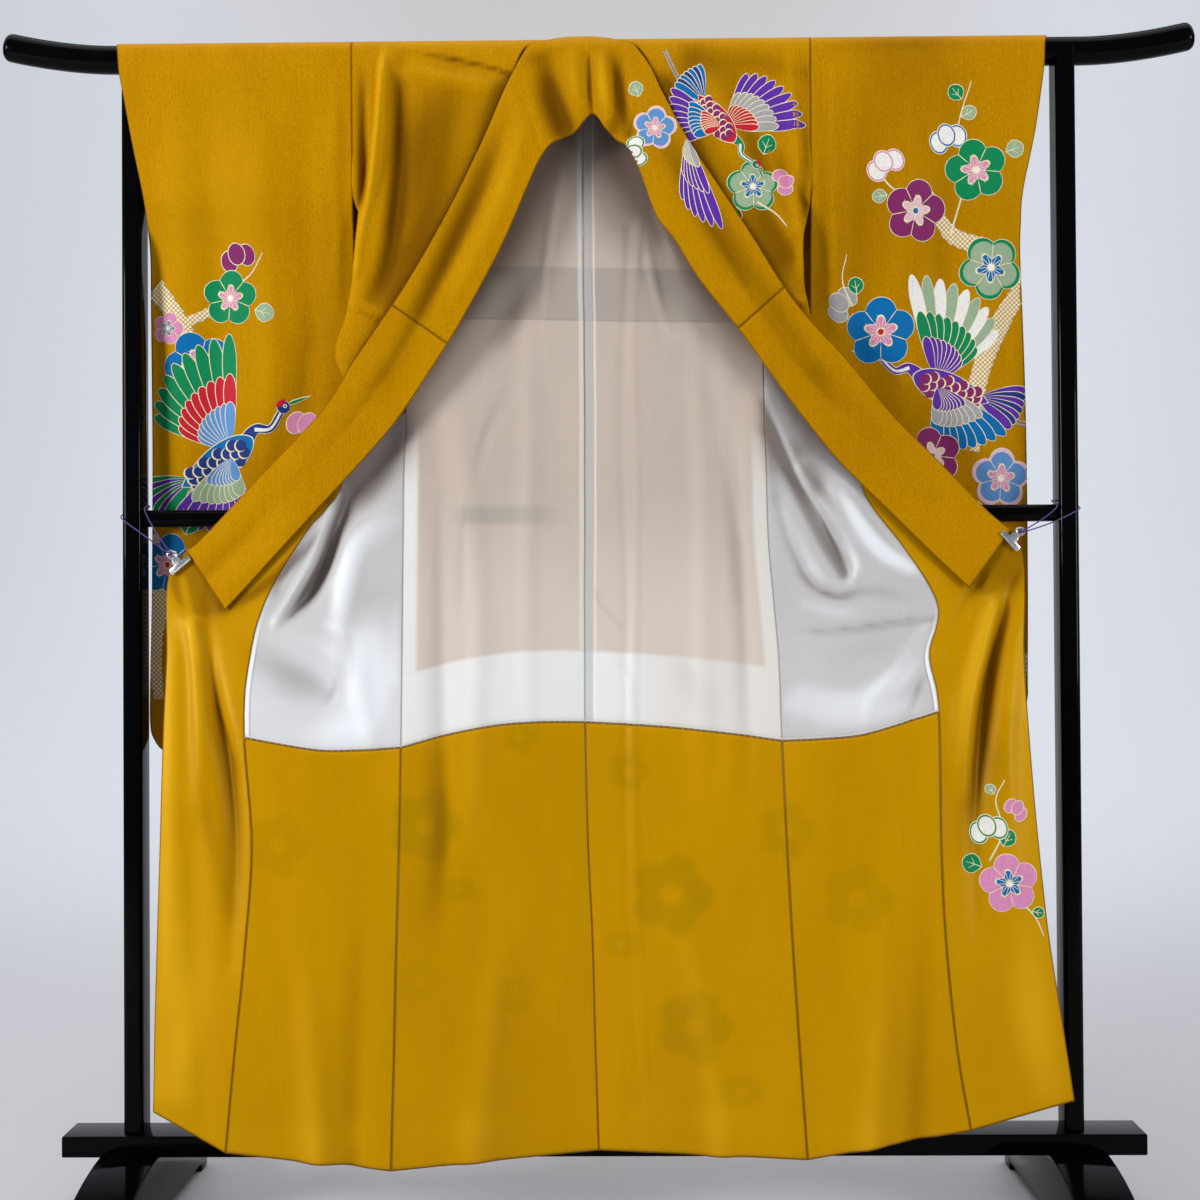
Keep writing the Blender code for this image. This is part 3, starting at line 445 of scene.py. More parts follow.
def makeBlushLining():
    look = blushLining
    tree, surface = newMaterial("blush lining silk", look["roughness"], specular=0.3)
    weave, colour = silkGround(tree, look, 0.0006)
    x, _, z = tree.place().parts()
    first, last = tree.layer("edges").parts()[:2]
    height = z + (x * 7.0).sine() * 0.004
    tuck, width, pleat = look["tuckFrom"], look["bandWidth"], look["pleatReach"]
    centre = cloth["neckMiddle"], cloth["neckMiddle"] + 0.002
    colour = tree.mix(height.band(tuck, look["tuckTo"], 0.003) * 0.6, colour, look["tuck"])
    colour = tree.mix(height.band(tuck - 0.0015, tuck + 0.0015, 0.001) * 0.5, colour, look["tuckLine"])
    strip = last.fall(*look["stripReach"]) * height.fall(1.01, 1.17) * 0.95
    right, left = x.ramp(*centre), x.fall(*centre)
    middle = first.fall(0.006, 0.010) * left * 0.45
    boundary = tree.layer("rows").parts()[1]
    pale = boundary.fall(width - 0.004, width + 0.004).most(strip).most(middle)
    # Painted light: lighter towards the bottom, away from the shade under the collar.
    colour = tree.mix(height.fall(0.82, 1.06) * 0.85, colour, look["ridge"])
    colour = tree.mix(pale * x.ramp(0.02, 0.12, 0.96, 0.60), colour, look["band"])
    colour = tree.mix(first.fall(pleat, pleat + 0.003) * right * 0.6, colour, look["pleat"])
    pleatEdge = first.band(look["pleatEdgeFrom"], look["pleatEdgeTo"], 0.001)
    colour = tree.mix(pleatEdge * right * 0.5, colour, look["pleatEdge"])
    # Painted shadow of the rail, seen through the lining.
    rail = z.band(look["railFrom"], look["railTo"], 0.007) * x.ramp(-0.215, -0.185) * x.fall(-0.115, -0.030)
    colour = tree.mix(rail * 0.34, colour, look["rail"])
    colour = paintShadeAndHighlight(tree, colour, look, 0.80, 0.5)
    colour = tree.mix(first.least(last).fall(0.0005, 0.0022) * 0.55, colour, look["seam"])
    colour = boundaryLine(tree, colour, boundary)
    finish(tree, surface, colour, weave, 0.4, 0.00008)


def boundaryLine(tree, colour, distance):
    # Cream edge of the lining above the dark line where it meets the facing.
    cream = distance.band(0.0016, 0.0036, 0.0006) * 0.6
    colour = tree.mix(cream, colour, boundaryEdge["cream"])
    return tree.mix(distance.fall(0.0008, 0.0016) * 0.85, colour, boundaryEdge["line"])


def makeWhiteLining():
    look = whiteLining
    tree, surface = newMaterial("white lining silk", look["roughness"], specular=0.4)
    weave, colour = silkGround(tree, look, 0.0006)
    x, _, z = tree.place().parts()
    first, last = tree.layer("edges").parts()[:2]
    # Painted light: lighter towards the bottom, more so on the left.
    colour = tree.mix(z.fall(0.76, 0.90) * x.ramp(-0.1, 0.1, 0.42, 0.05), colour, look["ridge"])
    colour = paintShadeAndHighlight(tree, colour, look, 0.88, 0.90)
    below = z.fall(look["pipingTop"] - 0.09, look["pipingTop"])
    width = look["pipingWidth"]
    colour = tree.mix(first.fall(width * 0.85, width) * below, colour, look["piping"])
    line = first.band(width, width * 1.3, width * 0.12) * below
    colour = tree.mix(line * 0.40, colour, look["line"])
    colour = tree.mix(first.least(last).fall(0.0005, 0.0020) * 0.5, colour, look["line"])
    colour = boundaryLine(tree, colour, tree.layer("rows").parts()[0])
    finish(tree, surface, colour, weave - line * 3.0, 0.4, 0.00010)


def makeLacquer():
    tree, surface = newMaterial("black lacquer", 0.12, coat=0.03, specular=0.05)
    ripple = tree.place().noise((14.0, 14.0, 14.0), detail=2.0)
    share = tree.place().noise((900.0, 900.0, 900.0), detail=2.0).ramp(0.60, 0.80)
    tree.put(surface.inputs["Roughness"], share * 0.25 + 0.09)
    finish(tree, surface, tree.mix(share, (4, 4, 5), (16, 15, 16)), ripple, 0.25, 0.0012)


def makeClipMetal():
    tree, surface = newMaterial("brushed white metal", 0.26, metallic=1.0)
    lines = tree.place().noise((400.0, 400.0, 3000.0), detail=2.0)
    tree.put(surface.inputs["Roughness"], lines.ramp(0.3, 0.7, 0.18, 0.36))
    finish(tree, surface, tree.mix(lines, (206, 208, 214), (246, 247, 250)), lines, 0.2, 0.00005)


def makeTieCord():
    tree, surface = newMaterial("plied purple cord", 0.75, sheen=0.3, specular=0.25)
    round, along = tree.layer("cloth").parts()[:2]
    # Painted shade in the grooves between the plies and painted highlight on their crowns, from the same
    # field as the bump.
    ply = ((round * 3.0 + along * 420.0) * math.pi).sine().size()
    finish(tree, surface, tree.mix(ply, (34, 18, 66), (88, 56, 142)), ply, 0.8, 0.0003)


def makeMaterials():
    for make in (makeCrepeGroup, makeWeaveGroup, makeGoldCrepe, makeGoldSatin, makeBlushLining,
                 makeWhiteLining, makeLacquer, makeClipMetal, makeTieCord):
        make()


# Cloth sheets


def run(*numbers):
    # Points given in millimetres as one run of numbers, three for each.
    return list(np.reshape(numbers, (-1, 3)) / 1000)


cloth = {
    "wall": 0.0012, "liningWall": 0.0010, "collarWall": 0.0020, "seamGap": 0.0003, "shownGap": 0.00006,
    "spacing": 0.0068, "collarSpacing": 0.0060, "edgeColumns": (0.0018, 0.0045), "edgeThinning": 0.55,
    "overBar": {"out": 0.0248, "up": 0.0217}, "collarOverBar": {"out": 0.0282, "up": 0.0254},
    "reliefScale": 0.018, "pucker": 0.00038, "barHeight": 1.661,
    "sleeveSeam": {"left": -0.3485, "right": 0.3035}, "neckMiddle": -0.0215,
    "collarClear": {"skirt": 0.016, "front": 0.012}, "frontFrom": (1.15, 1.26), "frontLayers": 13,
    # Over the bar: angle from the top towards the viewer, and x of the neck edge.
    "barStages": [
        {"angle": 75, "left": -0.098, "right": 0.054},
        {"angle": 40, "left": -0.056, "right": 0.013},
        {"angle": 0, "left": -0.030, "right": -0.013},
    ],
}
# Rows are counted from the hem: where the boundary, the tips and the seams' ends lie.
body = {
    "boundarySway": {"left": (-0.011, 0.0125), "right": (-0.0125, 0.004)},
    # Print seen through the facing, in millimetres: x, z, radius, petals, strength in percent.
    "ghosts": ((-242, 568, 50, 5, 80), (-195, 480, 22, 2, 55), (98, 470, 58, 5, 90), (40, 640, 30, 5, 60),
        (128, 290, 52, 5, 75), (190, 205, 28, 2, 50), (255, 560, 40, 5, 55), (-112, 690, 26, 5, 60),
        (-440, 545, 45, 5, 45), (28, 400, 24, 2, 55), (-120, 335, 30, 2, 35), (350, 470, 50, 5, 45),
        (-250, 360, 34, 5, 30)),
    "boundaryRow": 4, "okumiTipRow": 9, "sideTopRow": 11, "shoulderRow": 20, "sleeveEndRow": 14,
    "frontLiningTopRow": {"left": 9, "right": 10}, "backLiningTopRow": 17, "columns": 60,
    "frontPlaces": (0, 0.6, 1.2, 1.65, 2, 2.35, 2.8, 3.4, 4),
    "backPlaces": (0, 0.375, 0.75, 1.125, 1.5, 1.875, 2.25, 2.625, 3),
    "okumiEdge": {
        "left": run(-610, 115, 186, -609, 111, 295, -607, 105, 410, -604, 97, 555, -603, 83, 690,
            -602, 68, 800, -604, 47, 920, -556, 42, 972, -475, 40, 1058, -388, 39, 1150),
        "right": run(639, 115, 198, 625, 112, 300, 609, 105, 420, 598, 96, 550, 590, 83, 690, 587, 68, 800,
            591, 47, 945, 542, 42, 1003, 478, 40, 1070, 412, 39, 1138),
    },
    "frontSeam": {
        "left": run(-509, 125, 133, -497, 122, 265, -484, 115, 404, -476, 105, 547, -489, 90, 692,
            -488, 72, 785, -467, 56, 879, -412, 45, 976, -364, 38, 1044, -379, 37, 1147, -345, 37, 1218,
            -290, 38, 1297, -262, 38, 1340, -229, 37, 1397, -199, 36, 1453, -161, 34, 1532, -132, 31, 1600,
            -115, 28, 1635),
        "right": run(497, 125, 161, 480, 122, 269, 468, 115, 409, 464, 105, 540, 465, 90, 723, 456, 72, 801,
            471, 56, 868, 428, 45, 947, 370, 38, 1039, 398, 36, 1137, 352, 37, 1213, 304, 38, 1265,
            263, 38, 1318, 217, 37, 1393, 180, 36, 1450, 129, 34, 1529, 93, 31, 1598, 76, 28, 1635),
    },
    "sideSeam": {
        "left": run(-287, 112, 104, -283, 108, 250, -280, 100, 400, -277, 88, 543, -276, 72, 676,
            -276, 58, 790, -276, 47, 884, -276, 37, 973, -276, 28, 1054, -275, 18, 1149, -276, 10, 1221,
            -278, 4, 1280, -292, 6, 1335, -322, 10, 1400, -348.5, 18, 1458, -348.5, 21, 1537,
            -348.5, 23.5, 1603, -348.5, 23.5, 1635),
        "right": run(279, 112, 118, 270, 108, 260, 262, 100, 406, 256, 88, 548, 252, 72, 683, 250, 58, 794,
            244, 47, 881, 238, 37, 970, 237, 28, 1062, 236, 18, 1145, 236, 10, 1218, 241, 4, 1268,
            249, 6, 1329, 275, 10, 1394, 303.5, 18, 1458, 303.5, 21, 1537, 303.5, 23.5, 1603,
            303.5, 23.5, 1635),
    },
    "backArmhole": {
        "left": run(-292, -4, 1335, -322, -13, 1400, -348.5, -21.5, 1458, -348.5, -23.5, 1537,
            -348.5, -24, 1603, -348.5, -23.5, 1635),
        "right": run(249, -4, 1329, 275, -13, 1394, 303.5, -21.5, 1458, 303.5, -23.5, 1537,
            303.5, -24, 1603, 303.5, -23.5, 1635),
    },
    "centreSeam": run(-5, 52, 113, -9, 49, 260, -12, 46, 400, -18, 41, 545, -21, 36, 708, -21, 31, 800,
        -21, 27, 892, -20, 22, 979, -20, 16, 1060, -19.5, 8, 1150, -20, 2, 1220, -20, -4, 1280,
        -21, -9, 1335, -21, -15, 1400, -21.5, -19, 1458, -21.5, -22, 1537, -21.5, -23.5, 1603,
        -21.5, -23.5, 1635),
    "frontFold": {
        "left": (10, run(-370, 27, 1224, -357, 25, 1286, -348, 23, 1339, -341, 21, 1402, -330, 23, 1452,
            -311, 26, 1540, -305, 27, 1603, -303, 26.5, 1635)),
        "right": (11, run(298, 27, 1275, 292, 24, 1325, 290, 21, 1391, 297, 23, 1449, 284, 25, 1535,
            278, 26, 1602, 276, 26.5, 1635)),
    },
}
# Folds in millimetres: width (below 0 for a sharp crease), then x, z and height along each.
folds = {
    "skirt": (
        # Okumi left
        (14, -583, 918, 5.2, -569, 869, 11.7, -556, 799, 13, -550, 716, 9.1, -549, 605, 2.6),
        (13, -559, 883, -2.8, -537, 758, -11.2, -512, 647, -15.4, -501, 536, -9.8, -505, 385, -2.8),
        (-5, -565, 904, -2, -539, 757, -4, -514, 688, -4, -495, 636, -2),
        (16, -589, 883, 2, -590, 717, 5, -587, 524, 4, -583, 332, 1),
        (18, -560, 582, -1, -556, 445, -5, -547, 296, -4, -541, 173, -1),
        # Okumi right
        (12, 569, 927, 7.8, 546, 868, 14.3, 528, 807, 14.3, 507, 731, 10.4, 493, 614, 3.9),
        (13, 574, 904, -4.2, 557, 840, -12.6, 537, 767, -16.8, 523, 680, -15.4, 513, 531, -7,
         512, 407, -1.4),
        (15, 577, 876, 4.8, 565, 766, 8.4, 556, 642, 7.2, 563, 491, 3.6),
        (11, 518, 890, 3, 490, 842, 5, 480, 766, 5, 475, 656, 2),
        (10, 537, 907, -4, 504, 868, -7, 487, 821, -5, 478, 751, -2),
        # Left lining
        (6, -369, 1033, 6.5, -397, 948, 11.7, -430, 885, 11.7, -451, 851, 5.2),
        (24, -288, 1120, -7, -305, 1085, -10.5, -331, 1047, -12, -355, 1010, -8),
        (12.5, -352, 1035, -5, -370, 980, -15, -385, 936, -20, -405, 896, -19, -430, 865, -6),
        (16, -290, 1010, 2, -335, 972, 5.5, -352, 910, 7, -362, 846, 5, -365, 775, 2),
        (20, -471, 800, -2, -425, 780, -4, -385, 757, -4, -380, 730, -2),
        (13, -477, 842, 1, -418, 826, 3, -350, 795, 4.5, -338, 742, 2),
        (14, -334, 826, 2, -326, 742, 5, -318, 679, 3),
        (4, -395, 854, 0, -364, 842, 3, -347, 812, 1),
        # Right lining
        (8, 247, 1018, -1.5, 268, 955, -5, 292, 906, -7, 316, 886, -6, 351, 877, -2),
        (10, 251, 1046, 2, 282, 969, 5.5, 307, 917, 5.5, 331, 892, 3),
        (22, 240, 1130, -6, 270, 1085, -8, 305, 1035, -6),
        (11, 270, 1065, -4, 307, 1011, -9, 335, 950, -11, 348, 911, -7),
        (6, 282, 1063, 2, 318, 1007, 5, 352, 955, 6, 362, 919, 5.5, 346, 897, 4, 326, 894, 1.5),
        (14, 299, 1071, 4.5, 352, 1003, 10.5, 401, 940, 10.5, 456, 908, 4.5),
        (-3, 266, 833, 0, 291, 833, -4.5, 360, 840, -5, 426, 850, -4.5, 469, 857, -1.2),
        (9, 452, 807, -1, 436, 752, -5, 422, 697, -2),
        (8, 455, 835, 4, 416, 787, 5, 374, 739, 3, 360, 683, 1),
        (4, 61, 1446, 1.5, 50, 1261, 2.5, 54, 1063, 2, 52, 879, 2.5, 48, 738, 3, 49, 499, 2, 60, 246, 2,
         67, 120, 1),
        (5, 43, 1417, -1.5, 33, 1162, -2, 37, 880, -2, 34, 710, -2.5, 36, 457, -1.5, 53, 176, -1),
        (5, -7, 837, 1, 17, 802, 3.5, 40, 767, 3, 48, 717, 1),
        # Back lining
        (16, -203, 1192, 0, -182, 1022, 5, -169, 853, 6, -172, 711, 5, -185, 528, 2),
        (16, -234, 1135, -1, -228, 937, -5, -225, 740, -6, -219, 572, -5, -227, 376, -1),
        (14, -103, 1376, 0, -97, 1135, 4, -101, 880, 4, -99, 711, 2),
        (15, 130, 1301, 1, 143, 1132, 4, 149, 935, 5, 143, 738, 4, 139, 570, 1),
        (14, 193, 1188, -1, 195, 991, -5, 200, 794, -6, 203, 598, -2),
        (5, 78, 1446, 0, 101, 1410, 4, 146, 1363, 2),
        (5, 68, 1403, 1, 82, 1324, 4, 100, 1266, 1),
        (6, -53, 1497, 1, -71, 1382, 4, -76, 1267, 1),
        # Skirt
        (20, -410, 472, 0, -400, 336, 5, -391, 200, 8, -387, 112, 9),
        (20, -331, 499, 0, -334, 336, -5, -340, 200, -7, -343, 105, -8),
        (20, 380, 496, 0, 376, 347, 5, 367, 225, 8, 361, 124, 9),
        (20, 434, 523, -1, 436, 360, -5, 429, 252, -7, 424, 137, -7),
        (22, 122, 467, 0, 135, 330, 4, 155, 193, 7, 161, 114, 8),
        (22, -138, 468, 0, -150, 331, 4, -167, 194, 6, -176, 109, 7),
    ),
    "front": (
        # Left front
        (8, -302, 1661, 10.1, -309, 1578, 14.2, -317, 1493, 14.2, -334, 1414, 8.1, -343, 1350, 6.1),
        (12, -281, 1655, -6.5, -283, 1548, -13, -285, 1449, -13, -297, 1363, -10.9, -320, 1307, -4.3),
        (14, -221, 1617, 1, -227, 1546, 3, -243, 1461, 3, -268, 1397, 2),
        (-5, -266, 1662, -1.4, -222, 1653, -3.6, -172, 1642, -3.6, -125, 1628, -1.4),
        (10, -279, 1633, 2.9, -222, 1621, 5.8, -165, 1610, 4.3, -137, 1601, 1.4),
        (-2.8, -352, 1294, -4.3, -338, 1291, -4.9, -304, 1274, -4.9),
        (6, -350, 1303, 3.2, -336, 1300, 3.8, -302, 1284, 2.9),
        # Right front
        (-2.8, 291, 1291, -4.3, 272, 1293, -4.9, 250, 1276, -4.9),
        (6, 291, 1301, 3.2, 272, 1303, 3.8, 250, 1287, 2.9),
        # Left front
        (8, -334, 1652, -4.1, -333, 1551, -10.1, -332, 1473, -10.1, -341, 1423, -2),
        # Right front
        (9, 274, 1644, 1.9, 281, 1558, 5.7, 283, 1473, 9.4, 288, 1395, 11.3, 291, 1345, 7.5),
        (10, 226, 1472, 1.4, 251, 1437, 7.2, 275, 1398, 7.2),
        (11, 248, 1557, -2, 265, 1493, -10.1, 291, 1443, -12.2, 295, 1408, -4.1),
        (14, 196, 1615, -2.9, 220, 1543, -5.8, 242, 1479, -4.3),
        (14, 147, 1644, 1.4, 168, 1587, 5.8, 195, 1515, 5.8, 226, 1444, 2.9),
    ),
    "collar": (
        (14, -73, 1644, -3, -61, 1601, -8, -43, 1551, -8.5),
        (9, -37, 1655, 2, -30, 1608, 4.5, -23, 1575, 3),
        (9, 9, 1643, 3, 13, 1601, 5, 17, 1566, 4),
        (10, 22, 1654, -3, 31, 1615, -7.5, 40, 1572, -8.5, 46, 1540, -6),
        # Left band
        (14, -104, 1560, 2, -128, 1480, 4, -165, 1400, 3.5, -205, 1315, 2),
        (18, -135, 1540, -1.5, -165, 1455, -4.5, -205, 1370, -5, -250, 1290, -3),
        # Right band
        (18, 75, 1560, -1.5, 110, 1490, -4, 150, 1410, -4, 200, 1330, -2),
        # Left band
        (16, -400, 1020, 1, -470, 945, 3, -520, 905, 3),
        (14, -430, 1045, -1, -500, 970, -3.5, -550, 920, -3.5),
        (-4.5, -13, 1652, -4, -12, 1630, -6.2, -11, 1596, -6.2, -7, 1578, -3),
        (10, -33, 1650, 1.4, -30, 1610, 2.2, -22, 1575, 1.2),
        (10, 10, 1650, 1.4, 8, 1610, 2.2, 4, 1580, 1.2),
        (-4.5, -112, 1612, -1, -97, 1567, -3.4, -80, 1520, -3, -70, 1492, -0.6),
        (-4.5, 62, 1607, -1, 54, 1566, -3, 44, 1525, -2.4),
        (6, -180, 1435, -0.6, -232, 1318, -1.6, -290, 1215, -1.6, -355, 1120, -1),
        (6, 120, 1478, -0.6, 185, 1360, -1.6, 262, 1235, -1.6, 345, 1140, -1),
    ),
    "sleeve": (
        (24, -594, 1654, 0, -600, 1482, 5, -604, 1282, 7, -607, 1054, 8, -611, 827, 6, -608, 685, 3),
        (22, -544, 1639, 0, -549, 1453, -4, -547, 1282, -6, -550, 1097, -6, -561, 826, -4),
        (22, -477, 1624, 0, -480, 1453, 4, -475, 1281, 5, -479, 1096, 4),
        (20, -411, 1624, 0, -415, 1452, -4, -416, 1267, -5, -425, 1138, -3),
        (14, -638, 1426, 4, -624, 1311, 4, -624, 1140, 3, -628, 941, 2),
        (9, -371, 1623, 2, -372, 1523, 4, -372, 1409, 4, -375, 1309, 2),
        (24, 573, 1643, 0, 566, 1472, 5, 558, 1273, 6, 559, 1075, 6, 565, 806, 4),
        (20, 502, 1629, 0, 500, 1458, -5, 496, 1274, -6, 497, 1103, -4),
        (22, 442, 1630, 0, 437, 1459, 5, 428, 1288, 5, 434, 1161, 3),
        (18, 377, 1616, 0, 376, 1474, -5, 372, 1317, -6, 374, 1232, -3),
        (10, 335, 1631, 2, 334, 1517, 5, 336, 1389, 6, 338, 1275, 3),
    ),
}
# Painted shade and painted highlight: the deep and pale tones that soft light leaves on the folds,
# as rows of the same kind: height is a tone in percent.
shades = {
    "front": (
        # Left panel
        (34, -210, 1633, -25, -232, 1547, -72, -252, 1427, -62, -291, 1321, -40),
        (13, -272, 1612, -12, -273, 1520, -28, -291, 1413, -30),
        (11, -306, 1634, 35, -310, 1541, 75, -319, 1463, 65, -341, 1378, 35, -351, 1279, 25),
        (9, -337, 1634, -25, -337, 1534, -45, -335, 1449, -50),
        (8, -341, 1364, 20, -351, 1307, 28, -368, 1222, 22),
        (3.6, -271, 1662, -12, -208, 1650, -45, -130, 1629, -55, -118, 1609, -30),
        # Right panel
        (30, 133, 1644, -40, 196, 1558, -25, 226, 1458, -50, 265, 1366, -55),
        (24, 147, 1646, -35, 232, 1640, -45, 288, 1628, -30),
        (12, 224, 1593, 20, 262, 1500, 35, 275, 1422, 30),
        (9, 299, 1628, -20, 296, 1514, -40, 288, 1422, -35),
    ),
    "skirt": (
        # Left lining
        (30, -268, 1135, -30, -291, 1086, -38, -322, 1041, -28, -350, 1005, 8),
        (12.5, -358, 1002, -5, -378, 959, -40, -392, 927, -50, -413, 891, -45, -439, 860, -25),
        (10, -385, 1009, 15, -414, 960, 20, -443, 906, 15),
        (9, -372, 998, -8, -414, 950, -60, -475, 897, -65, -523, 872, -40),
        (8, -407, 981, -20, -436, 932, -35, -454, 889, -25),
        (18, -291, 994, 30, -337, 959, 55, -358, 910, 50, -361, 851, 35),
        (14, -288, 903, -5, -330, 879, -25, -348, 851, -20),
        (34, -490, 815, -12, -440, 770, -30, -410, 745, -28, -440, 715, -15),
        (6, -377, 786, -10, -367, 764, -30, -380, 738, -15),
        (30, -320, 825, 60, -320, 755, 100, -345, 706, 90, -430, 698, 20),
        (8, -286, 867, 20, -287, 769, 30),
        # Right lining
        (5, 233, 1176, 45, 262, 1107, 55, 291, 1041, 65, 329, 976, 60, 358, 931, 55, 352, 901, 40),
        (10.5, 236, 1159, -45, 259, 1082, -60, 283, 1021, -60, 316, 954, -62, 338, 914, -40),
        (12, 238, 1117, -35, 246, 1054, -45, 260, 993, -35, 282, 934, -25),
        (9, 252, 1006, 15, 279, 947, 35, 310, 900, 35),
        (10, 276, 1097, -10, 314, 1037, -40, 355, 983, -35, 380, 950, -15),
        (12, 340, 1040, 20, 360, 985, 70, 389, 950, 70, 433, 923, 50),
        (17, 262, 1180, -25, 290, 1115, -35, 312, 1061, -36, 325, 1030, -8),
        (10, 282, 913, -20, 328, 886, -40, 380, 889, -32, 429, 881, -15),
        (10, 289, 871, 35, 331, 861, 40, 380, 861, 10),
        (6, 298, 827, -25, 368, 835, -35, 466, 849, -35),
        (18, 323, 801, -12, 393, 814, -18, 442, 821, -12),
        (16, 281, 752, 35, 349, 742, 50, 421, 772, 55, 457, 807, 30),
        (7, 457, 790, -20, 440, 751, -35, 429, 720, -15),
        (20, 266, 731, 45, 336, 716, 55, 421, 730, 45),
        # Back lining
        (34, -52, 1515, -18, -73, 1458, -10, -116, 1388, -6),
        (26, 16, 1521, -20, 21, 1457, -14, 4, 1401, -8),
        (18, -74, 1352, -10, -109, 1303, -40, -138, 1254, -25),
        (20, -145, 1325, 30, -187, 1240, 40, -223, 1163, 25),
        (8, -110, 1183, 30, -153, 1106, 45, -179, 1022, 25),
        (9, -138, 1176, -15, -170, 1092, -35, -189, 1000, -40, -196, 881, -15),
        (7, -240, 1050, 35, -247, 937, 40, -251, 825, 30),
        (20, 99, 1372, 25, 144, 1259, 35, 185, 1132, 35, 215, 991, 25),
        (5, 69, 1372, 30, 88, 1316, -10, 99, 1252, 35),
        (5, 82, 1443, 25, 105, 1372, 35, 116, 1301, 15),
        (4.5, 92, 1280, 15, 109, 1255, 45, 144, 1262, 20),
        (12, 130, 1231, -8, 164, 1118, -22, 181, 991, -18, 190, 879, -8),
        (12, 171, 1188, 15, 201, 1061, 30, 219, 935, 20),
        (26, 112, 800, -12, 140, 756, -36, 150, 710, -22),
        (5, -10, 922, 10, 9, 901, 35, 18, 880, 10),
        (5, -10, 868, 30, 17, 835, 45, 43, 806, 20),
        (6, -5, 894, -25, 1, 874, -25, 29, 840, -20),
        # Left okumi
        (34, -575, 520, 25, -563, 350, 75, -575, 220, 60),
        (14, -603, 883, 20, -598, 658, 35, -598, 433, 30, -610, 209, 25),
        (14, -582, 827, -12, -559, 686, -35, -533, 559, -40, -515, 461, -20),
        (10, -542, 827, 25, -517, 742, 35, -507, 679, 20),
        (6, -585, 911, 45, -569, 848, 50, -556, 798, 20),
        # Right okumi
        (34, 575, 480, 15, 584, 320, 70, 600, 220, 50),
        (15, 583, 897, -10, 564, 820, -30, 539, 734, -42, 506, 622, -40, 486, 527, -18),
        (14, 555, 890, 15, 526, 820, 35, 497, 737, 35, 483, 653, 15),
        (18, 560, 705, -40, 552, 650, -62, 556, 582, -30),
        (12, 586, 820, 30, 585, 680, 35, 589, 512, 25),
        # Left skirt
        (20, -237, 656, -20, -226, 544, -30, -248, 418, -15),
        (22, -183, 642, 12, -156, 487, 15, -171, 320, 12),
        # Right skirt
        (20, 56, 641, 12, 89, 458, 12, 138, 318, 10),
        # Hem
        (22, -495, 153, 15, -256, 152, 15, 53, 165, 15, 346, 157, 15),
    ),
    "collar": (
        # Left band
        (13, -106, 1542, 25, -129, 1465, 45, -165, 1380, 45, -211, 1296, 25),
        (20, -129, 1571, -15, -165, 1479, -40, -204, 1395, -48, -240, 1317, -42, -279, 1234, -40,
         -310, 1165, -18),
        (16, -307, 1205, -20, -378, 1107, -25, -434, 1037, -10),
        (21, -82, 1638, -25, -70, 1584, -66, -52, 1542, -70),
        (6, -20, 1651, 30, -17, 1605, 45, -12, 1562, 20),
        (3.4, -11, 1651, -50, -10, 1605, -100, -8, 1567, -90),
        (8, 3, 1643, 20, 8, 1605, 35, 15, 1566, 20),
        (12, 32, 1640, -32, 29, 1590, -60, 22, 1544, -66),
        (7, 45, 1637, 25, 49, 1590, 35, 46, 1548, 20),
        (10, -109, 1610, 25, -96, 1567, 30, -78, 1519, 15),
        # Right band
        (20, 96, 1554, -15, 145, 1455, -42, 207, 1349, -42, 284, 1230, -40, 320, 1160, -15),
        (18, 311, 1200, -25, 381, 1116, -20, 464, 1017, -12),
        (12, -93, 1648, -25, -51, 1657, -15),
    ),
    "sleeve": (
        # Right sleeve
        (85, 438, 1644, -38, 430, 1473, -28, 428, 1303, -25, 469, 1132, -20),
        # Left sleeve
        (20, -366, 1638, -12, -372, 1480, -25, -381, 1323, -25),
        (70, -530, 1625, 28, -540, 1440, 60, -545, 1268, 28),
        # Right sleeve
        (16, 320, 1617, -15, 325, 1460, -35, 318, 1304, -30),
        # Sleeve tops
        (12, -651, 1666, -15, -365, 1663, -15),
        (12, 318, 1665, -15, 622, 1668, -15),
    ),
}
ripples = {"count": 26, "shortest": 0.018, "longest": 0.075, "height": 0.00022, "seed": 5}


def alongLine(x, z, line):
    # For each point and stretch of the line: the share along the stretch, and how far away it is.
    a, step = line[:-1], line[1:] - line[:-1]
    along = ((x - a[:, 0]) * step[:, 0] + (z - a[:, 1]) * step[:, 1]) / (step[:, 0] ** 2 + step[:, 1] ** 2)
    along = np.clip(along, 0, 1)
    return along, np.hypot(x - a[:, 0] - along * step[:, 0], z - a[:, 1] - along * step[:, 1])


def foldHeight(x, z, rows):
    total = np.zeros(x.shape)
    flatX, flatZ, flatTotal = x.ravel(), z.ravel(), total.ravel()
    for width, *numbers in rows:
        sharp, width, line = width < 0, abs(width) / 1000, run(*numbers)
        line = through(line, np.linspace(0, len(line) - 1, 6 * (len(line) - 1) + 1))
        reach = 3.2 * width
        low, high = line.min(axis=0) - reach, line.max(axis=0) + reach
        near = np.flatnonzero((flatX > low[0]) & (flatX < high[0]) & (flatZ > low[1]) & (flatZ < high[1]))
        if not len(near):
            continue
        along, away = alongLine(flatX[near, None], flatZ[near, None], line)
        best = away.argmin(axis=1)
        pick = np.arange(len(near))
        share = along[pick, best]
        height = line[best, 2] + (line[best + 1, 2] - line[best, 2]) * share
        distance = away[pick, best] / width
        flatTotal[near] += height * np.exp(-distance if sharp else -distance**2)
    return total


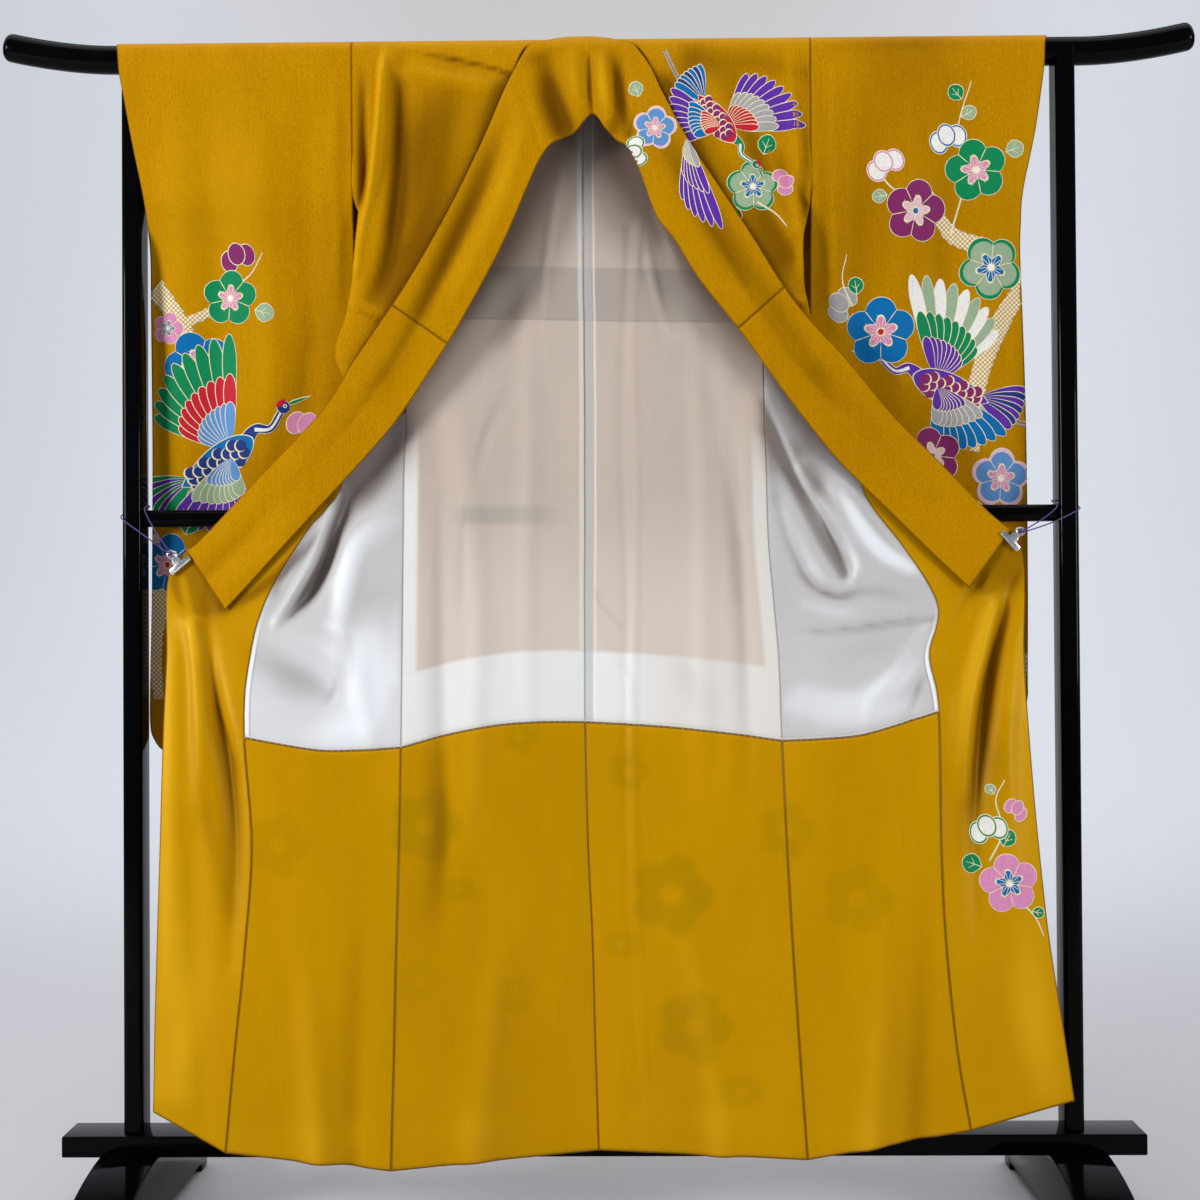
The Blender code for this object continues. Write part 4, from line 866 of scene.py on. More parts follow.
def rippleHeight(x, z):
    chance = random.Random(ripples["seed"])
    total = np.zeros(x.shape)
    for _ in range(ripples["count"]):
        wave = chance.uniform(ripples["shortest"], ripples["longest"])
        turn = chance.uniform(-0.9, 0.9)
        shift = chance.uniform(0, 6.28)
        total += np.sin((x * math.cos(turn) + z * math.sin(turn) * 0.45) * 6.283 / wave + shift) * wave
    return total * ripples["height"] / 0.05 / math.sqrt(ripples["count"])


def overBarPoint(x, angle, size):
    turn = math.radians(angle)
    return (x, size["out"] * math.sin(turn), cloth["barHeight"] + size["up"] * math.cos(turn))


def sheetNormals(grid, side):
    across = np.gradient(grid, axis=1)
    along = np.gradient(grid, axis=0)
    return unit(np.cross(across, along)) * (1 if side == "left" else -1)


def drawnIn(grid, firstRow=0, lastRow=0, firstColumn=0, lastColumn=0):
    grid = grid.copy()
    grid[0] += unit(grid[1] - grid[0]) * firstRow
    grid[-1] += unit(grid[-2] - grid[-1]) * lastRow
    grid[:, 0] += unit(grid[:, 1] - grid[:, 0]) * firstColumn
    grid[:, -1] += unit(grid[:, -2] - grid[:, -1]) * lastColumn
    return grid


def edgeDistances(grid):
    across = np.linalg.norm(np.diff(grid, axis=1), axis=2)
    along = np.linalg.norm(np.diff(grid, axis=0), axis=2)
    fromFirst = np.concatenate([np.zeros((len(grid), 1)), np.cumsum(across, axis=1)], axis=1)
    fromBottom = np.concatenate([np.zeros((1, grid.shape[1])), np.cumsum(along, axis=0)])
    return fromFirst, fromFirst[:, -1:] - fromFirst, fromBottom, fromBottom[-1:] - fromBottom


def makeWall(name, grid, normals, low, high, material, marks=None):
    # A closed sheet between two distances from the grid; its wall thins towards each border.
    rows, columns = grid.shape[:2]
    count = rows * columns
    first, last, bottom, top = edgeDistances(grid)
    border = np.minimum(np.minimum(first, last), np.minimum(bottom, top))
    full = cloth["edgeThinning"] + (1 - cloth["edgeThinning"]) * smoothStep(border, 0, 0.0022)
    if low < 0:
        lows, highs = low * full, high * full
    else:
        lows, highs = np.full(full.shape, low), low + (high - low) * full
    points = np.concatenate([
        (grid + normals * lows[..., None]).reshape(-1, 3),
        (grid + normals * highs[..., None]).reshape(-1, 3),
    ])
    i, j = np.meshgrid(np.arange(rows - 1), np.arange(columns - 1), indexing="ij")
    a = (i * columns + j).ravel()
    quads = np.stack([a, a + columns, a + columns + 1, a + 1], axis=1)
    ring = list(range(columns)) + [i * columns + columns - 1 for i in range(1, rows)]
    ring += [(rows - 1) * columns + j for j in range(columns - 2, -1, -1)]
    ring += [i * columns for i in range(rows - 2, 0, -1)]
    ring = np.array(ring)
    following = np.roll(ring, -1)
    rim = np.stack([ring, following, following + count, ring + count], axis=1)
    faces = np.concatenate([quads, quads[:, ::-1] + count, rim])
    mesh = bpy.data.meshes.new(name)
    mesh.from_pydata(points.tolist(), [], faces.tolist())
    mesh.materials.append(materials[material])
    for layer, pair in (("cloth", (first, bottom)), ("edges", (first, last)), ("rows", (bottom, top))):
        layUv(mesh, layer, np.stack(pair, axis=-1).reshape(-1, 2))
    for key, values in (marks or {}).items():
        layer = mesh.attributes.new(key, "FLOAT", "POINT")
        layer.data.foreach_set("value", np.tile(values.ravel(), 2).astype(np.float32))
    faceOutwards(mesh)
    smoothFaces(mesh)
    pieces[name] = linkPiece(name, mesh)
    pieces[name]["rows"] = rows


# Body panels: one strip each side, from front hem over the shoulder to back hem


def frontRows(side):
    seam, edge = body["frontSeam"][side], body["sideSeam"][side]
    firstFold, fold = body["frontFold"][side]
    rows = []
    for k, (a, b) in enumerate(zip(seam, edge)):
        a, b = np.array(a), np.array(b)
        middle = np.array(fold[k - firstFold]) if k >= firstFold else (a + b) / 2
        near, far = (a + middle) / 2, (middle + b) / 2
        if firstFold <= k <= cloth["frontLayers"]:
            near = near + (0, 0.002, 0)
            far = far - (0, 0.003, 0)
        rows.append([a, near, middle, far, b])
    armhole = cloth["sleeveSeam"][side]
    ridge = fold[-1][0]
    for stage in cloth["barStages"]:
        marks = (stage[side], (stage[side] + ridge) / 2, ridge, (ridge + armhole) / 2, armhole)
        rows.append([overBarPoint(x, stage["angle"], cloth["overBar"]) for x in marks])
    return world(rows)


def backRows(side):
    edge = body["sideSeam"][side][:body["sideTopRow"] + 1] + body["backArmhole"][side]
    rows = []
    for a, b in zip(body["centreSeam"], edge):
        a, b = np.array(a), np.array(b)
        rows.append([a, a + (b - a) / 3 - (0, 0.001, 0), a + (b - a) * 2 / 3 - (0, 0.001, 0), b])
    armhole, neck = cloth["sleeveSeam"][side], cloth["neckMiddle"]
    for stage in cloth["barStages"][:2]:
        xs = np.linspace(neck, armhole, 4)
        rows.append([overBarPoint(x, -stage["angle"], cloth["overBar"]) for x in xs])
    return world(rows)


def okumiRows(side):
    seam = body["frontSeam"][side][:body["okumiTipRow"] + 2]
    edge = body["okumiEdge"][side] + [seam[-1]]
    return world([[a, (np.array(a) + b) / 2, b] for a, b in zip(edge, seam)])


def bodyPlaces():
    rows = frontRows("left")
    rise = denseRows(rows, cloth["spacing"])
    return np.concatenate([rise, 2 * body["shoulderRow"] - rise[-2::-1]])


def columnPlaces(most, count, width):
    places = list(np.linspace(0, most, count + 1))
    for edge in cloth["edgeColumns"]:
        places += [most * edge / width, most * (1 - edge / width)]
    places = sorted(places)
    kept = [places[0]]
    for place in places[1:]:
        if place - kept[-1] > most * 0.0012 / width:
            kept.append(place)
    kept[-1] = most
    return np.array(kept)


def bodyGrid(side, places, across):
    front = frontRows(side)
    back = backRows(side)
    steps = np.arange(9)
    front = np.array([through(row, np.interp(across, steps, body["frontPlaces"])) for row in front])
    back = np.array([through(row, np.interp(across, steps, body["backPlaces"])) for row in back])
    strip = through(np.concatenate([front, back[::-1]]), places)
    nearer, farther = (np.maximum, np.minimum) if side == "left" else (np.minimum, np.maximum)
    fromShoulder = np.abs(places - body["shoulderRow"])
    sewn = fromShoulder <= body["shoulderRow"] - body["sleeveEndRow"] + 1
    strip[sewn, -1, 0] = nearer(strip[sewn, -1, 0], cloth["sleeveSeam"][side])
    behind = places > body["shoulderRow"]
    strip[behind, 0, 0] = farther(strip[behind, 0, 0], np.where(
        strip[behind, 0, 2] > 1.400, cloth["neckMiddle"], strip[behind, 0, 0]))
    for rowsFrom, lift in zip((places, 2 * body["shoulderRow"] - places), body["boundarySway"][side]):
        near = np.exp(-(((rowsFrom - body["boundaryRow"]) / 1.1) ** 2))
        strip[..., 2] += lift * near[:, None] * np.sin(math.pi * across / 8)[None]
    return strip


def foldField(x, z, part):
    # Towards the viewer; part skirt is everything inside the garment and below the collar's lower half.
    height = foldHeight(x, z, folds[part])
    clear = smoothStep(collarDistance(x, z), 0, cloth["collarClear"][part])
    return np.minimum(height, 0) + np.maximum(height, 0) * clear


def frontShare(z):
    # How far the front panel's rows replace the skirt's at this height.
    return smoothStep(z, *cloth["frontFrom"])


def shadeField(x, z, share):
    # Painted tone of the shade rows, from the skirt's at share 0 to the front panel's at share 1.
    skirt, front = foldHeight(x, z, shades["skirt"]), foldHeight(x, z, shades["front"])
    return 10 * (skirt * (1 - share) + front * share)


def overBarFade(height, z):
    # Ridges die out on top of the bar, hollows below it.
    ridge = np.maximum(height, 0) * (1 - smoothStep(z, 1.630, 1.668))
    return ridge + np.minimum(height, 0) * (1 - smoothStep(z, 1.600, 1.640))


def collarDistance(x, z):
    # Distance outside the collar band, 0 under it.
    best = np.full(x.shape, 9.0)
    for side in sides:
        rows = collarRows(side)
        line = rows.mean(axis=1)[:, (0, 2)]
        half = np.hypot(rows[:, 1, 0] - rows[:, 0, 0], rows[:, 1, 2] - rows[:, 0, 2]) / 2
        along, away = alongLine(x[..., None], z[..., None], line)
        away = away - (half[:-1] * (1 - along) + half[1:] * along) * 0.93
        best = np.minimum(best, away.min(axis=-1))
    return np.maximum(best, 0)


def paintedToneOf(height, x, z, near, far):
    # Signed painted tone: painted shade in hollows and the collar's painted cast shadow beside it count
    # below 0, painted highlight on ridges above 0.
    away = collarDistance(x, z)
    # The collar's cast shadow, painted, fading out at the top.
    under = sum(share * np.exp(-away / reach) for share, reach in (near, far))
    under = under * (1 - smoothStep(z, 1.600, 1.655))
    return np.clip(height / cloth["reliefScale"], -1, 1) - under


def ghostField(x, z):
    # Where the outside's pattern shows through the facing as a faint blurred print.
    total = np.zeros(x.shape)
    for middleX, middleZ, radius, petals, share in np.array(body["ghosts"]) / (1000, 1000, 1000, 1, 100):
        away, turn = np.hypot(x - middleX, z - middleZ), np.arctan2(z - middleZ, x - middleX)
        edge = radius * (0.74 + 0.26 * np.abs(np.cos(turn * petals / 2)))
        heart = smoothStep(away, 0.16 * radius, 0.34 * radius)
        total += share * (1 - smoothStep(away, edge - 0.007, edge + 0.007)) * heart
    return np.clip(total, 0, 1)


def pucker(z, distance, phase):
    # Small gathers that a sewn seam draws into the silk on each side of it.
    wave = np.sin(z * 251 + phase + 2.1 * np.sin(z * 37 + phase)) + 0.6 * np.sin(z * 409 + 3 * phase)
    return cloth["pucker"] * wave * np.exp(-distance / 0.011)


def dressBody(strip, places, across):
    x, z = strip[..., 0], strip[..., 2]
    front = (places < body["shoulderRow"])[:, None] & np.ones(len(across), bool)[None]
    skirt, upper = foldField(x, z, "skirt"), foldField(x, z, "front")
    hidden = smoothStep(across, 4.0, 4.8)[None]
    upper = np.where(hidden > 0, np.minimum(upper, 0) * (1 - smoothStep(across, 5.5, 8)[None])
                     + np.maximum(upper, 0) * (1 - hidden), upper)
    share = frontShare(z)
    height = np.where(front, skirt * (1 - share) + upper * share, skirt)
    # The collar's painted shadow: share and reach near and far from its edge, weaker low on the back.
    deep = 0.35 + 0.65 * smoothStep(z, 1.12, 1.34)
    near = np.where(front, 0.50, 0.40 * deep), np.where(front, 0.009, 0.030)
    far = np.where(front, 0.34, 0.36 * deep), np.where(front, 0.050, 0.085)
    relief = paintedToneOf(height, x, z, near, far) + shadeField(x, z, np.where(front, share, 0))
    ripple = rippleHeight(x, z) * np.where(front, 1 - share, 1)
    first, last = edgeDistances(strip)[:2]
    gathers = pucker(z, first, 0.0) + pucker(z, last, 1.7) * (1 - smoothStep(z, 1.40, 1.45))
    # Painted tone for the outside: the front panel's own where it faces the viewer, elsewhere hollows seen
    # from behind as painted highlight and ridges as painted shade.
    outer = np.where(front, share, 0) * relief
    outer = outer - np.where(front, 1 - share, 1) * height / cloth["reliefScale"] / 2
    strip = strip.copy()
    strip[..., 1] -= overBarFade(height + ripple + gathers, z)
    return strip, relief, outer


def sharedNormals(first, second):
    mean = unit(first + second)
    first[:] = mean
    second[:] = mean


def uprightNormals(normals):
    normals[:, 0] = 0
    normals[:] = unit(normals)


def rowIndex(places, row):
    return int(np.argmin(np.abs(places - row)))


def makeBody():
    places = bodyPlaces()
    across = columnPlaces(8, body["columns"], 0.235)
    top = rowIndex(places, body["okumiTipRow"])
    okumiAcross = columnPlaces(2, 30, 0.115)
    strips, normals, okumis, okumiNormals, reliefs = {}, {}, {}, {}, {}
    for side in sides:
        bare = bodyGrid(side, places, across)
        strips[side], reliefs[side], reliefs[side, "outer"] = dressBody(bare, places, across)
        rows = np.array([through(row, okumiAcross) for row in okumiRows(side)])
        okumi = through(rows, places[:top + 1])
        x, z = okumi[..., 0], okumi[..., 2]
        height = foldField(x, z, "skirt")
        # Painted shade and highlight on the okumi facing, with the collar's painted shadow.
        reliefs[side, "okumi"] = paintedToneOf(height, x, z, (0.42, 0.008), (0.22, 0.035)) + shadeField(x, z, 0)
        okumi[..., 1] -= height + rippleHeight(x, z) + pucker(z, edgeDistances(okumi)[1], 0.0)
        okumis[side] = okumi
        normals[side] = sheetNormals(strips[side], side)
        okumiNormals[side] = sheetNormals(okumi, side)
    sideTop = rowIndex(places, body["sideTopRow"]) + 1
    sewn = rowIndex(places, body["sleeveEndRow"])
    shoulder = rowIndex(places, body["shoulderRow"])
    for side in sides:
        strip = normals[side]
        sharedNormals(strip[:sideTop, -1], strip[::-1][:sideTop, -1])
        sharedNormals(strip[:top + 1, 0], okumiNormals[side][:, -1])
        uprightNormals(strip[sewn:-sewn, -1])
    sharedNormals(normals["left"][shoulder + 1:, 0], normals["right"][shoulder + 1:, 0])
    for side in sides:
        makeSide(side, places, strips[side], normals[side], okumis[side], okumiNormals[side], reliefs)


def makeSide(side, places, strip, normals, okumi, okumiNormals, reliefs):
    half = cloth["shownGap"] / 2
    wall = cloth["wall"] / 2
    lining = (wall + cloth["seamGap"], wall + cloth["seamGap"] + cloth["liningWall"])
    panel = drawnIn(strip, firstColumn=half, lastColumn=half)
    # relief marks carry the painted tone; ghost the print seen through the facing.
    marks = {"relief": reliefs[side], "ghost": ghostField(panel[..., 0], panel[..., 2])}
    okumiMarks = {"relief": reliefs[side, "okumi"]}
    outer = {"relief": reliefs[side, "outer"]}
    makeWall(f"body_{side}", panel, normals, -wall, wall, "gold crepe", outer)
    edge = drawnIn(okumi, lastColumn=half)
    makeWall(f"okumi_{side}", edge, okumiNormals, -wall, wall, "gold crepe")
    makeWall(f"okumi_facing_{side}", edge, okumiNormals, *lining, "gold satin", okumiMarks)
    boundary = rowIndex(places, body["boundaryRow"])
    frontTop = rowIndex(places, body["frontLiningTopRow"][side])
    last = len(places) - 1
    backTop = last - rowIndex(places, body["backLiningTopRow"])
    linings = (
        ("front_facing", 0, boundary, {"lastRow": half}, "gold satin"),
        ("front_lining", boundary, frontTop, {"firstRow": half}, "white lining silk"),
        ("back_facing", last - boundary, last, {"firstRow": half}, "gold satin"),
        ("back_lining", backTop, last - boundary, {"lastRow": half}, "blush lining silk"),
    )
    for name, start, stop, inset, finish in linings:
        grid = drawnIn(panel[start:stop + 1], **inset)
        makeWall(f"{name}_{side}", grid, normals[start:stop + 1], *lining, finish,
                 {key: values[start:stop + 1] for key, values in marks.items()})


# Collar

collar = {
    "columns": 26, "overCollarStart": {"left": 5, "right": 6}, "lift": 0.0005,
    # Row of the body panel, then the free edge in millimetres: x, depth and height.
    "edge": {
        "left": ((6.6, -522, 63, 869), (7, -488, 57, 906), (8, -400, 50, 1003), (9, -311, 47, 1100),
            (10, -270, 47, 1152), (11, -211, 47, 1241), (12, -187, 47, 1281), (13, -156, 46, 1337),
            (14, -128, 45, 1392), (15, -99, 44, 1460), (16, -81, 42, 1500), (17, -66, 39, 1522)),
        "right": ((6.4, 514, 63, 893), (7, 470, 57, 936), (8, 407, 51, 1000), (9, 338, 48, 1070),
            (10, 280, 47, 1143), (11, 236, 47, 1204), (12, 197, 47, 1259), (13, 142, 46, 1330),
            (14, 110, 45, 1383), (15, 83, 44, 1420), (16, 60, 42, 1484), (17, 44, 40, 1517)),
    },
    # Angle from the top, seam, then the free edge.
    "neck": ((72, -95, -50, 37, 1531), (38, -53, -30, 35, 1542), (-12, -22, -6, 31, 1568),
        (38, 11, 12, 35, 1546), (72, 52, 28, 38, 1528)),
}


def collarRows(side):
    # Seam and free edge of each row, in world metres.
    lift = cloth["wall"] / 2 + 3 * cloth["seamGap"] + cloth["liningWall"] + cloth["collarWall"] / 2
    rows = []
    for row, *edge in collar["edge"][side]:
        line = body["okumiEdge" if row < body["okumiTipRow"] + 0.5 else "frontSeam"][side]
        seam = through(line, [row])[0] + (0, lift + collar["lift"], 0)
        rows.append([seam, np.array(edge) / 1000 + (0, collar["lift"], 0)])
    return world(rows)


def collarSide(side, across):
    rows = []
    for seam, edge in collarRows(side):
        middle = (seam + edge) / 2 - (0, 0.002, 0)
        rows.append(through([seam, middle, edge], 2 * across))
    return np.array(rows)


def neckRow(angle, seam, edge, across):
    angles = np.linspace(angle, 90, 25)
    xs = np.linspace(seam, seam * 0.4 + edge[0] * 0.6, 25)
    arc = [overBarPoint(x, a, cloth["collarOverBar"]) for x, a in zip(xs, angles)]
    corners = np.array([*arc, edge])
    steps = np.linalg.norm(np.diff(corners, axis=0), axis=1) / 0.040
    steps[:-1] += (90 - angle) / 24 / 20
    along = np.concatenate([[0], np.cumsum(steps)])
    places = across * along[-1]
    return world(np.stack([np.interp(places, along, corners[:, k]) for k in range(3)], axis=1))


def makeCollar():
    across = columnPlaces(1, collar["columns"], 0.110)
    rows = np.array(collar["neck"]) / (1, 1000, 1000, 1000, 1000)
    rows = through(rows, np.linspace(0, len(rows) - 1, 2 * len(rows) - 1))
    neck = np.array([neckRow(row[0], row[1], row[2:], across) for row in rows])
    left, right = collarSide("left", across), collarSide("right", across)
    control = np.concatenate([left, neck, right[::-1]])
    places = denseRows(control, cloth["collarSpacing"])
    grid = through(control, places)
    x, z = grid[..., 0], grid[..., 2]
    share = frontShare(z)
    under = foldField(x, z, "skirt") * (1 - share) + foldField(x, z, "front") * share
    ripple = rippleHeight(x, z) * (1 - share)
    creases = foldHeight(x, z, folds["collar"])
    # Painted tone on the collar: painted shade and highlight from its creases and shade rows.
    relief = 1.5 * creases / cloth["reliefScale"] + 10 * foldHeight(x, z, shades["collar"])
    gathers = pucker(z, edgeDistances(grid)[0], 0.4)
    grid[..., 1] -= overBarFade(np.maximum(under, 0), z) + overBarFade(ripple, z)
    grid[..., 1] -= (creases + gathers) * (1 - smoothStep(z, 1.648, 1.668))
    normals = sheetNormals(grid, "left")
    start = rowIndex(places, collar["overCollarStart"]["left"])
    stop = rowIndex(places, len(control) - 1 - collar["overCollarStart"]["right"])
    half = cloth["shownGap"] / 2
    wall = cloth["collarWall"] / 2
    stretches = (
        ("collar_left", 0, start), ("over_collar", start, stop), ("collar_right", stop, len(grid) - 1),
    )
    for name, first, last in stretches:
        stretch = drawnIn(grid[first:last + 1], firstRow=half, lastRow=half)
        makeWall(name, stretch, normals[first:last + 1], -wall, wall, "gold crepe",
                 {"relief": relief[first:last + 1]})


# Sleeves

sleeve = {
    "bottom": {"left": 0.655, "right": 0.690}, "rounding": 0.050, "belly": 0.0025, "lap": 0.030,
    "lapTop": 0.065, "lapFoot": 0.250, "bottomSteps": (0.0, 0.010, 0.028, 0.050), "railReach": 0.03,
    "seamEnd": 1.458, "columns": 62,
    "topEdge": {"left": (-0.683, -0.686, -0.687), "right": (0.636, 0.640, 0.641)},
    # In millimetres: height, x of the free edge, then the depth of the front and the back layer,
    # each at the armhole and at the free edge.
    "rows": {
        "left": ((1635, -680, 23.5, 26.2, -23.5, -26.2), (1603, -674, 23.5, 26.4, -24, -26.4),
            (1537, -662, 21, 26.4, -23.5, -26.4), (1458, -646, 18, 26.2, -21.5, -26.2),
            (1415, -643.5, 10, 10, -26, -12), (1375, -644, 3, -4.5, -28.5, -6),
            (1300, -646, -5, -13.5, -32, -15), (1200, -647, -11.5, -20.5, -34, -22),
            (1100, -647.5, -16.5, -24.5, -35.5, -26), (1000, -648.5, -19.5, -26.5, -36, -28),
            (880, -650, -22.5, -27.5, -35.5, -29), (760, -653, -25, -28.5, -34, -30)),
        "right": ((1635, 634, 23.5, 26, -23.5, -26), (1603, 630, 23.5, 26, -24, -26),
            (1537, 620, 21, 24, -23.5, -25), (1458, 605, 18, 15, -21.5, -20), (1415, 604, 10, 4, -26, -12),
            (1375, 605, 3, -5.5, -28.5, -7), (1300, 609, -5, -13.5, -32, -15),
            (1200, 613.5, -11.5, -20.5, -34, -22), (1100, 616, -16.5, -24.5, -35.5, -26),
            (1000, 617, -19.5, -26.5, -36, -28), (880, 617, -22.5, -27.5, -35.5, -29),
            (760, 616, -25, -28.5, -34, -30)),
    },
}


def sleeveLap(side, z):
    share = min(1, max(0, (sleeve["seamEnd"] - z) / sleeve["lapTop"]))
    share *= min(1, (z - sleeve["bottom"][side]) / sleeve["lapFoot"])
    return sleeve["lap"] * share * (1 if side == "left" else -1)


def sleeveRow(side, edge, outs, z, belly, lap=0):
    inner = cloth["sleeveSeam"][side] + lap
    return [
        (inner + (edge - inner) * share,
         outs[0] + (outs[1] - outs[0]) * share + belly * math.sin(math.pi * share), z)
        for share in (0, 1 / 3, 2 / 3, 1)
    ]


def sleeveLayer(side, layer, sign):
    bottom, rounding = sleeve["bottom"][side], sleeve["rounding"]
    outward = -1 if side == "left" else 1
    meet = cloth["wall"] + cloth["seamGap"]
    stages = np.array(sleeve["rows"][side])[::-1] / 1000
    lowest, depths = stages[0], {"front": slice(2, 4), "back": slice(4, 6)}[layer]
    rows = []
    for height in sleeve["bottomSteps"]:
        inset = rounding - math.sqrt(max(rounding**2 - (rounding - height) ** 2, 0))
        share = height / rounding
        seamOut = lowest[2] - (0 if layer == "front" else meet)
        atSeam, atEdge = lowest[depths]
        outs = (seamOut + (atSeam - seamOut) * share, atEdge)
        rows.append(sleeveRow(side, lowest[1] - outward * inset, outs, bottom + height, 0))
    for k, stage in enumerate(stages):
        belly = sleeve["belly"] * sign * min(1, 0.3 + k / 4)
        lap = sleeveLap(side, stage[0]) if layer == "back" else 0
        rows.append(sleeveRow(side, stage[1], stage[depths], stage[0], belly, lap))
    for stage, edge in zip(cloth["barStages"], sleeve["topEdge"][side]):
        if stage["angle"] or layer == "front":
            xs = np.linspace(cloth["sleeveSeam"][side], edge, 4)
            rows.append([overBarPoint(x, sign * stage["angle"], cloth["overBar"]) for x in xs])
    return rows


def makeSleeve(side):
    layers = sleeveLayer(side, "front", 1), sleeveLayer(side, "back", -1)
    rows = world(layers[0] + layers[1][::-1])
    across = columnPlaces(3, sleeve["columns"], 0.30)
    grid = np.array([through(row, across) for row in rows])
    places = denseRows(grid, cloth["spacing"])
    grid = through(grid, places)
    top = (len(rows) - 1) / 2
    x, z = grid[..., 0], grid[..., 2]
    height = foldHeight(x, z, folds["sleeve"]) + 1.6 * rippleHeight(x, z)
    # Painted tone on the sleeves: painted shade and highlight from folds and shade rows.
    relief = 0.6 * height / cloth["reliefScale"] + 10 * foldHeight(x, z, shades["sleeve"])
    seam = np.abs(x - cloth["sleeveSeam"][side])
    outer = np.abs(grid[:, -1:, 0] - x)
    height *= smoothStep(seam, 0.0, 0.02) * (0.15 + 0.85 * smoothStep(outer, 0.0, 0.03))
    height *= 1 - smoothStep(z, 1.600, 1.642)
    onRail = np.exp(-(((z - stand["railHeight"]) / sleeve["railReach"]) ** 2))
    height = np.minimum(height, 0.004 * onRail + 0.02 * (1 - onRail))
    behind = (places > top)[:, None]
    grid[..., 1] -= np.where(behind, height * 0.7, height)
    normals = sheetNormals(grid, side)
    uprightNormals(normals[:, 0])
    grid = drawnIn(grid, firstColumn=cloth["seamGap"] / 2)
    wall = cloth["wall"] / 2
    makeWall(f"sleeve_{side}", grid, normals, -wall, wall, "gold crepe", {"relief": relief})


# Dyed pattern: plum sprays, dotted branches and cranes, laid as one thin skin on each sheet

dyes = {
    "cream line": (246, 232, 186), "leaf green": (8, 138, 84), "pale green": (158, 182, 148),
    "sea blue": (0, 112, 178), "sky blue": (98, 150, 208), "night blue": (34, 58, 128),
    "plum": (136, 42, 104), "pink": (226, 146, 188), "pale pink": (238, 196, 208),
    "crimson": (200, 34, 52), "violet": (96, 48, 166), "ash grey": (172, 170, 172),
    "white": (246, 244, 236), "ink": (50, 34, 60), "gold thread": (190, 136, 10),
}
pattern = {
    "lift": 0.00035, "skin": 0.00018, "grid": 0.0052, "line": 0.0011, "step": 0.0038,
    "overhang": 0.007, "hatch": 0.0066,
    "blossomStyles": {
        "blue": ("sea blue", "sea blue", "pink", "crimson"),
        "green": ("leaf green", "leaf green", "pink", "white"),
        "plum": ("plum", "plum", "pale pink", "sea blue"),
        "grey": ("leaf green", "pale green", "sea blue", "white"),
        "pink": ("pink", "pink", "sea blue", "white"),
        "star": ("pale pink", "sky blue", "pink", "white"),
    },
}


# Geometry Nodes: one small sewn form repeated along a line or at set points


def makeSewingTree(name, alongLine):
    group = bpy.data.node_groups.new(name, "GeometryNodeTree")
    sockets = (("Geometry", "Geometry"), ("Gap", "Float"), ("Size", "Vector"), ("Finish", "Material"))
    for label, kind in sockets:
        group.interface.new_socket(label, in_out="INPUT", socket_type=f"NodeSocket{kind}")
    group.interface.new_socket("Geometry", in_out="OUTPUT", socket_type="NodeSocketGeometry")
    tree = Tree(group)
    points, gap, size, finish = [Field(tree, socket) for socket in tree.add("NodeGroupInput").outputs][:4]
    bead = tree.fill(tree.add("GeometryNodeMeshUVSphere"), Segments=6, Rings=4, Radius=1.0)
    copies = tree.add("GeometryNodeInstanceOnPoints")
    if alongLine:
        line = tree.fill(tree.add("GeometryNodeMeshToCurve"), Mesh=points)
        points = tree.fill(tree.add("GeometryNodeResampleCurve", mode="LENGTH"), Curve=line, Length=gap)
        tangent = Field(tree, tree.add("GeometryNodeInputTangent").outputs[0])
        turned = tree.fill(tree.add("FunctionNodeAlignRotationToVector", axis="X"), Vector=tangent)
        tree.fill(copies, Rotation=turned)
    instances = tree.fill(copies, Points=points, Instance=bead, Scale=size)
    real = tree.fill(tree.add("GeometryNodeRealizeInstances"), Geometry=instances)
    dressed = tree.fill(tree.add("GeometryNodeSetMaterial"), Geometry=real, Material=finish)
    tree.fill(tree.add("NodeGroupOutput"), Geometry=dressed)
    return group


def sewRow(name, points, edges, inputs, finish, tree):
    mesh = bpy.data.meshes.new(name)
    mesh.from_pydata([tuple(p) for p in points], edges, [])
    mesh.materials.append(materials[finish])
    piece = linkPiece(name, mesh)
    change = piece.modifiers.new("sewing", "NODES")
    change.node_group = sewing[tree]
    keys = {item.name: item.identifier for item in sewing[tree].interface.items_tree
            if item.in_out == "INPUT"}
    for label, value in {**inputs, "Finish": materials[finish]}.items():
        change[keys[label]] = value
    applyModifiers(piece, 60)
    piece.data.materials.clear()
    piece.data.materials.append(materials[finish])
    return piece


sewing = {}
stitches = {
    "gap": 0.0085, "size": (0.00095, 0.00042, 0.00042), "edgeGap": 0.016, "inset": 0.0030, "lift": 0.00012,
    "knot": (0.00075, 0.00075, 0.00075),
}


def sewStitches():
    # Pick stitches along the lining's cream edge and just inside the front edges.
    for side in sides:
        rows = {}
        for node, places in (("front_lining", "bottom"), ("back_lining", "top"), ("okumi_facing", "edge")):
            rows[node] = stitchLine(pieces[f"{node}_{side}"], places)
        for node, line in rows.items():
            gap = stitches["edgeGap"] if node == "okumi_facing" else stitches["gap"]
            finish = "dye gold thread" if node == "okumi_facing" else "dye cream line"
            name = f"stitches_{node}_{side}"
            edges = [(k, k + 1) for k in range(len(line) - 1)]
            inputs = {"Gap": gap, "Size": stitches["size"]}
            pieces[name] = sewRow(name, line, edges, inputs, finish, "stitches")


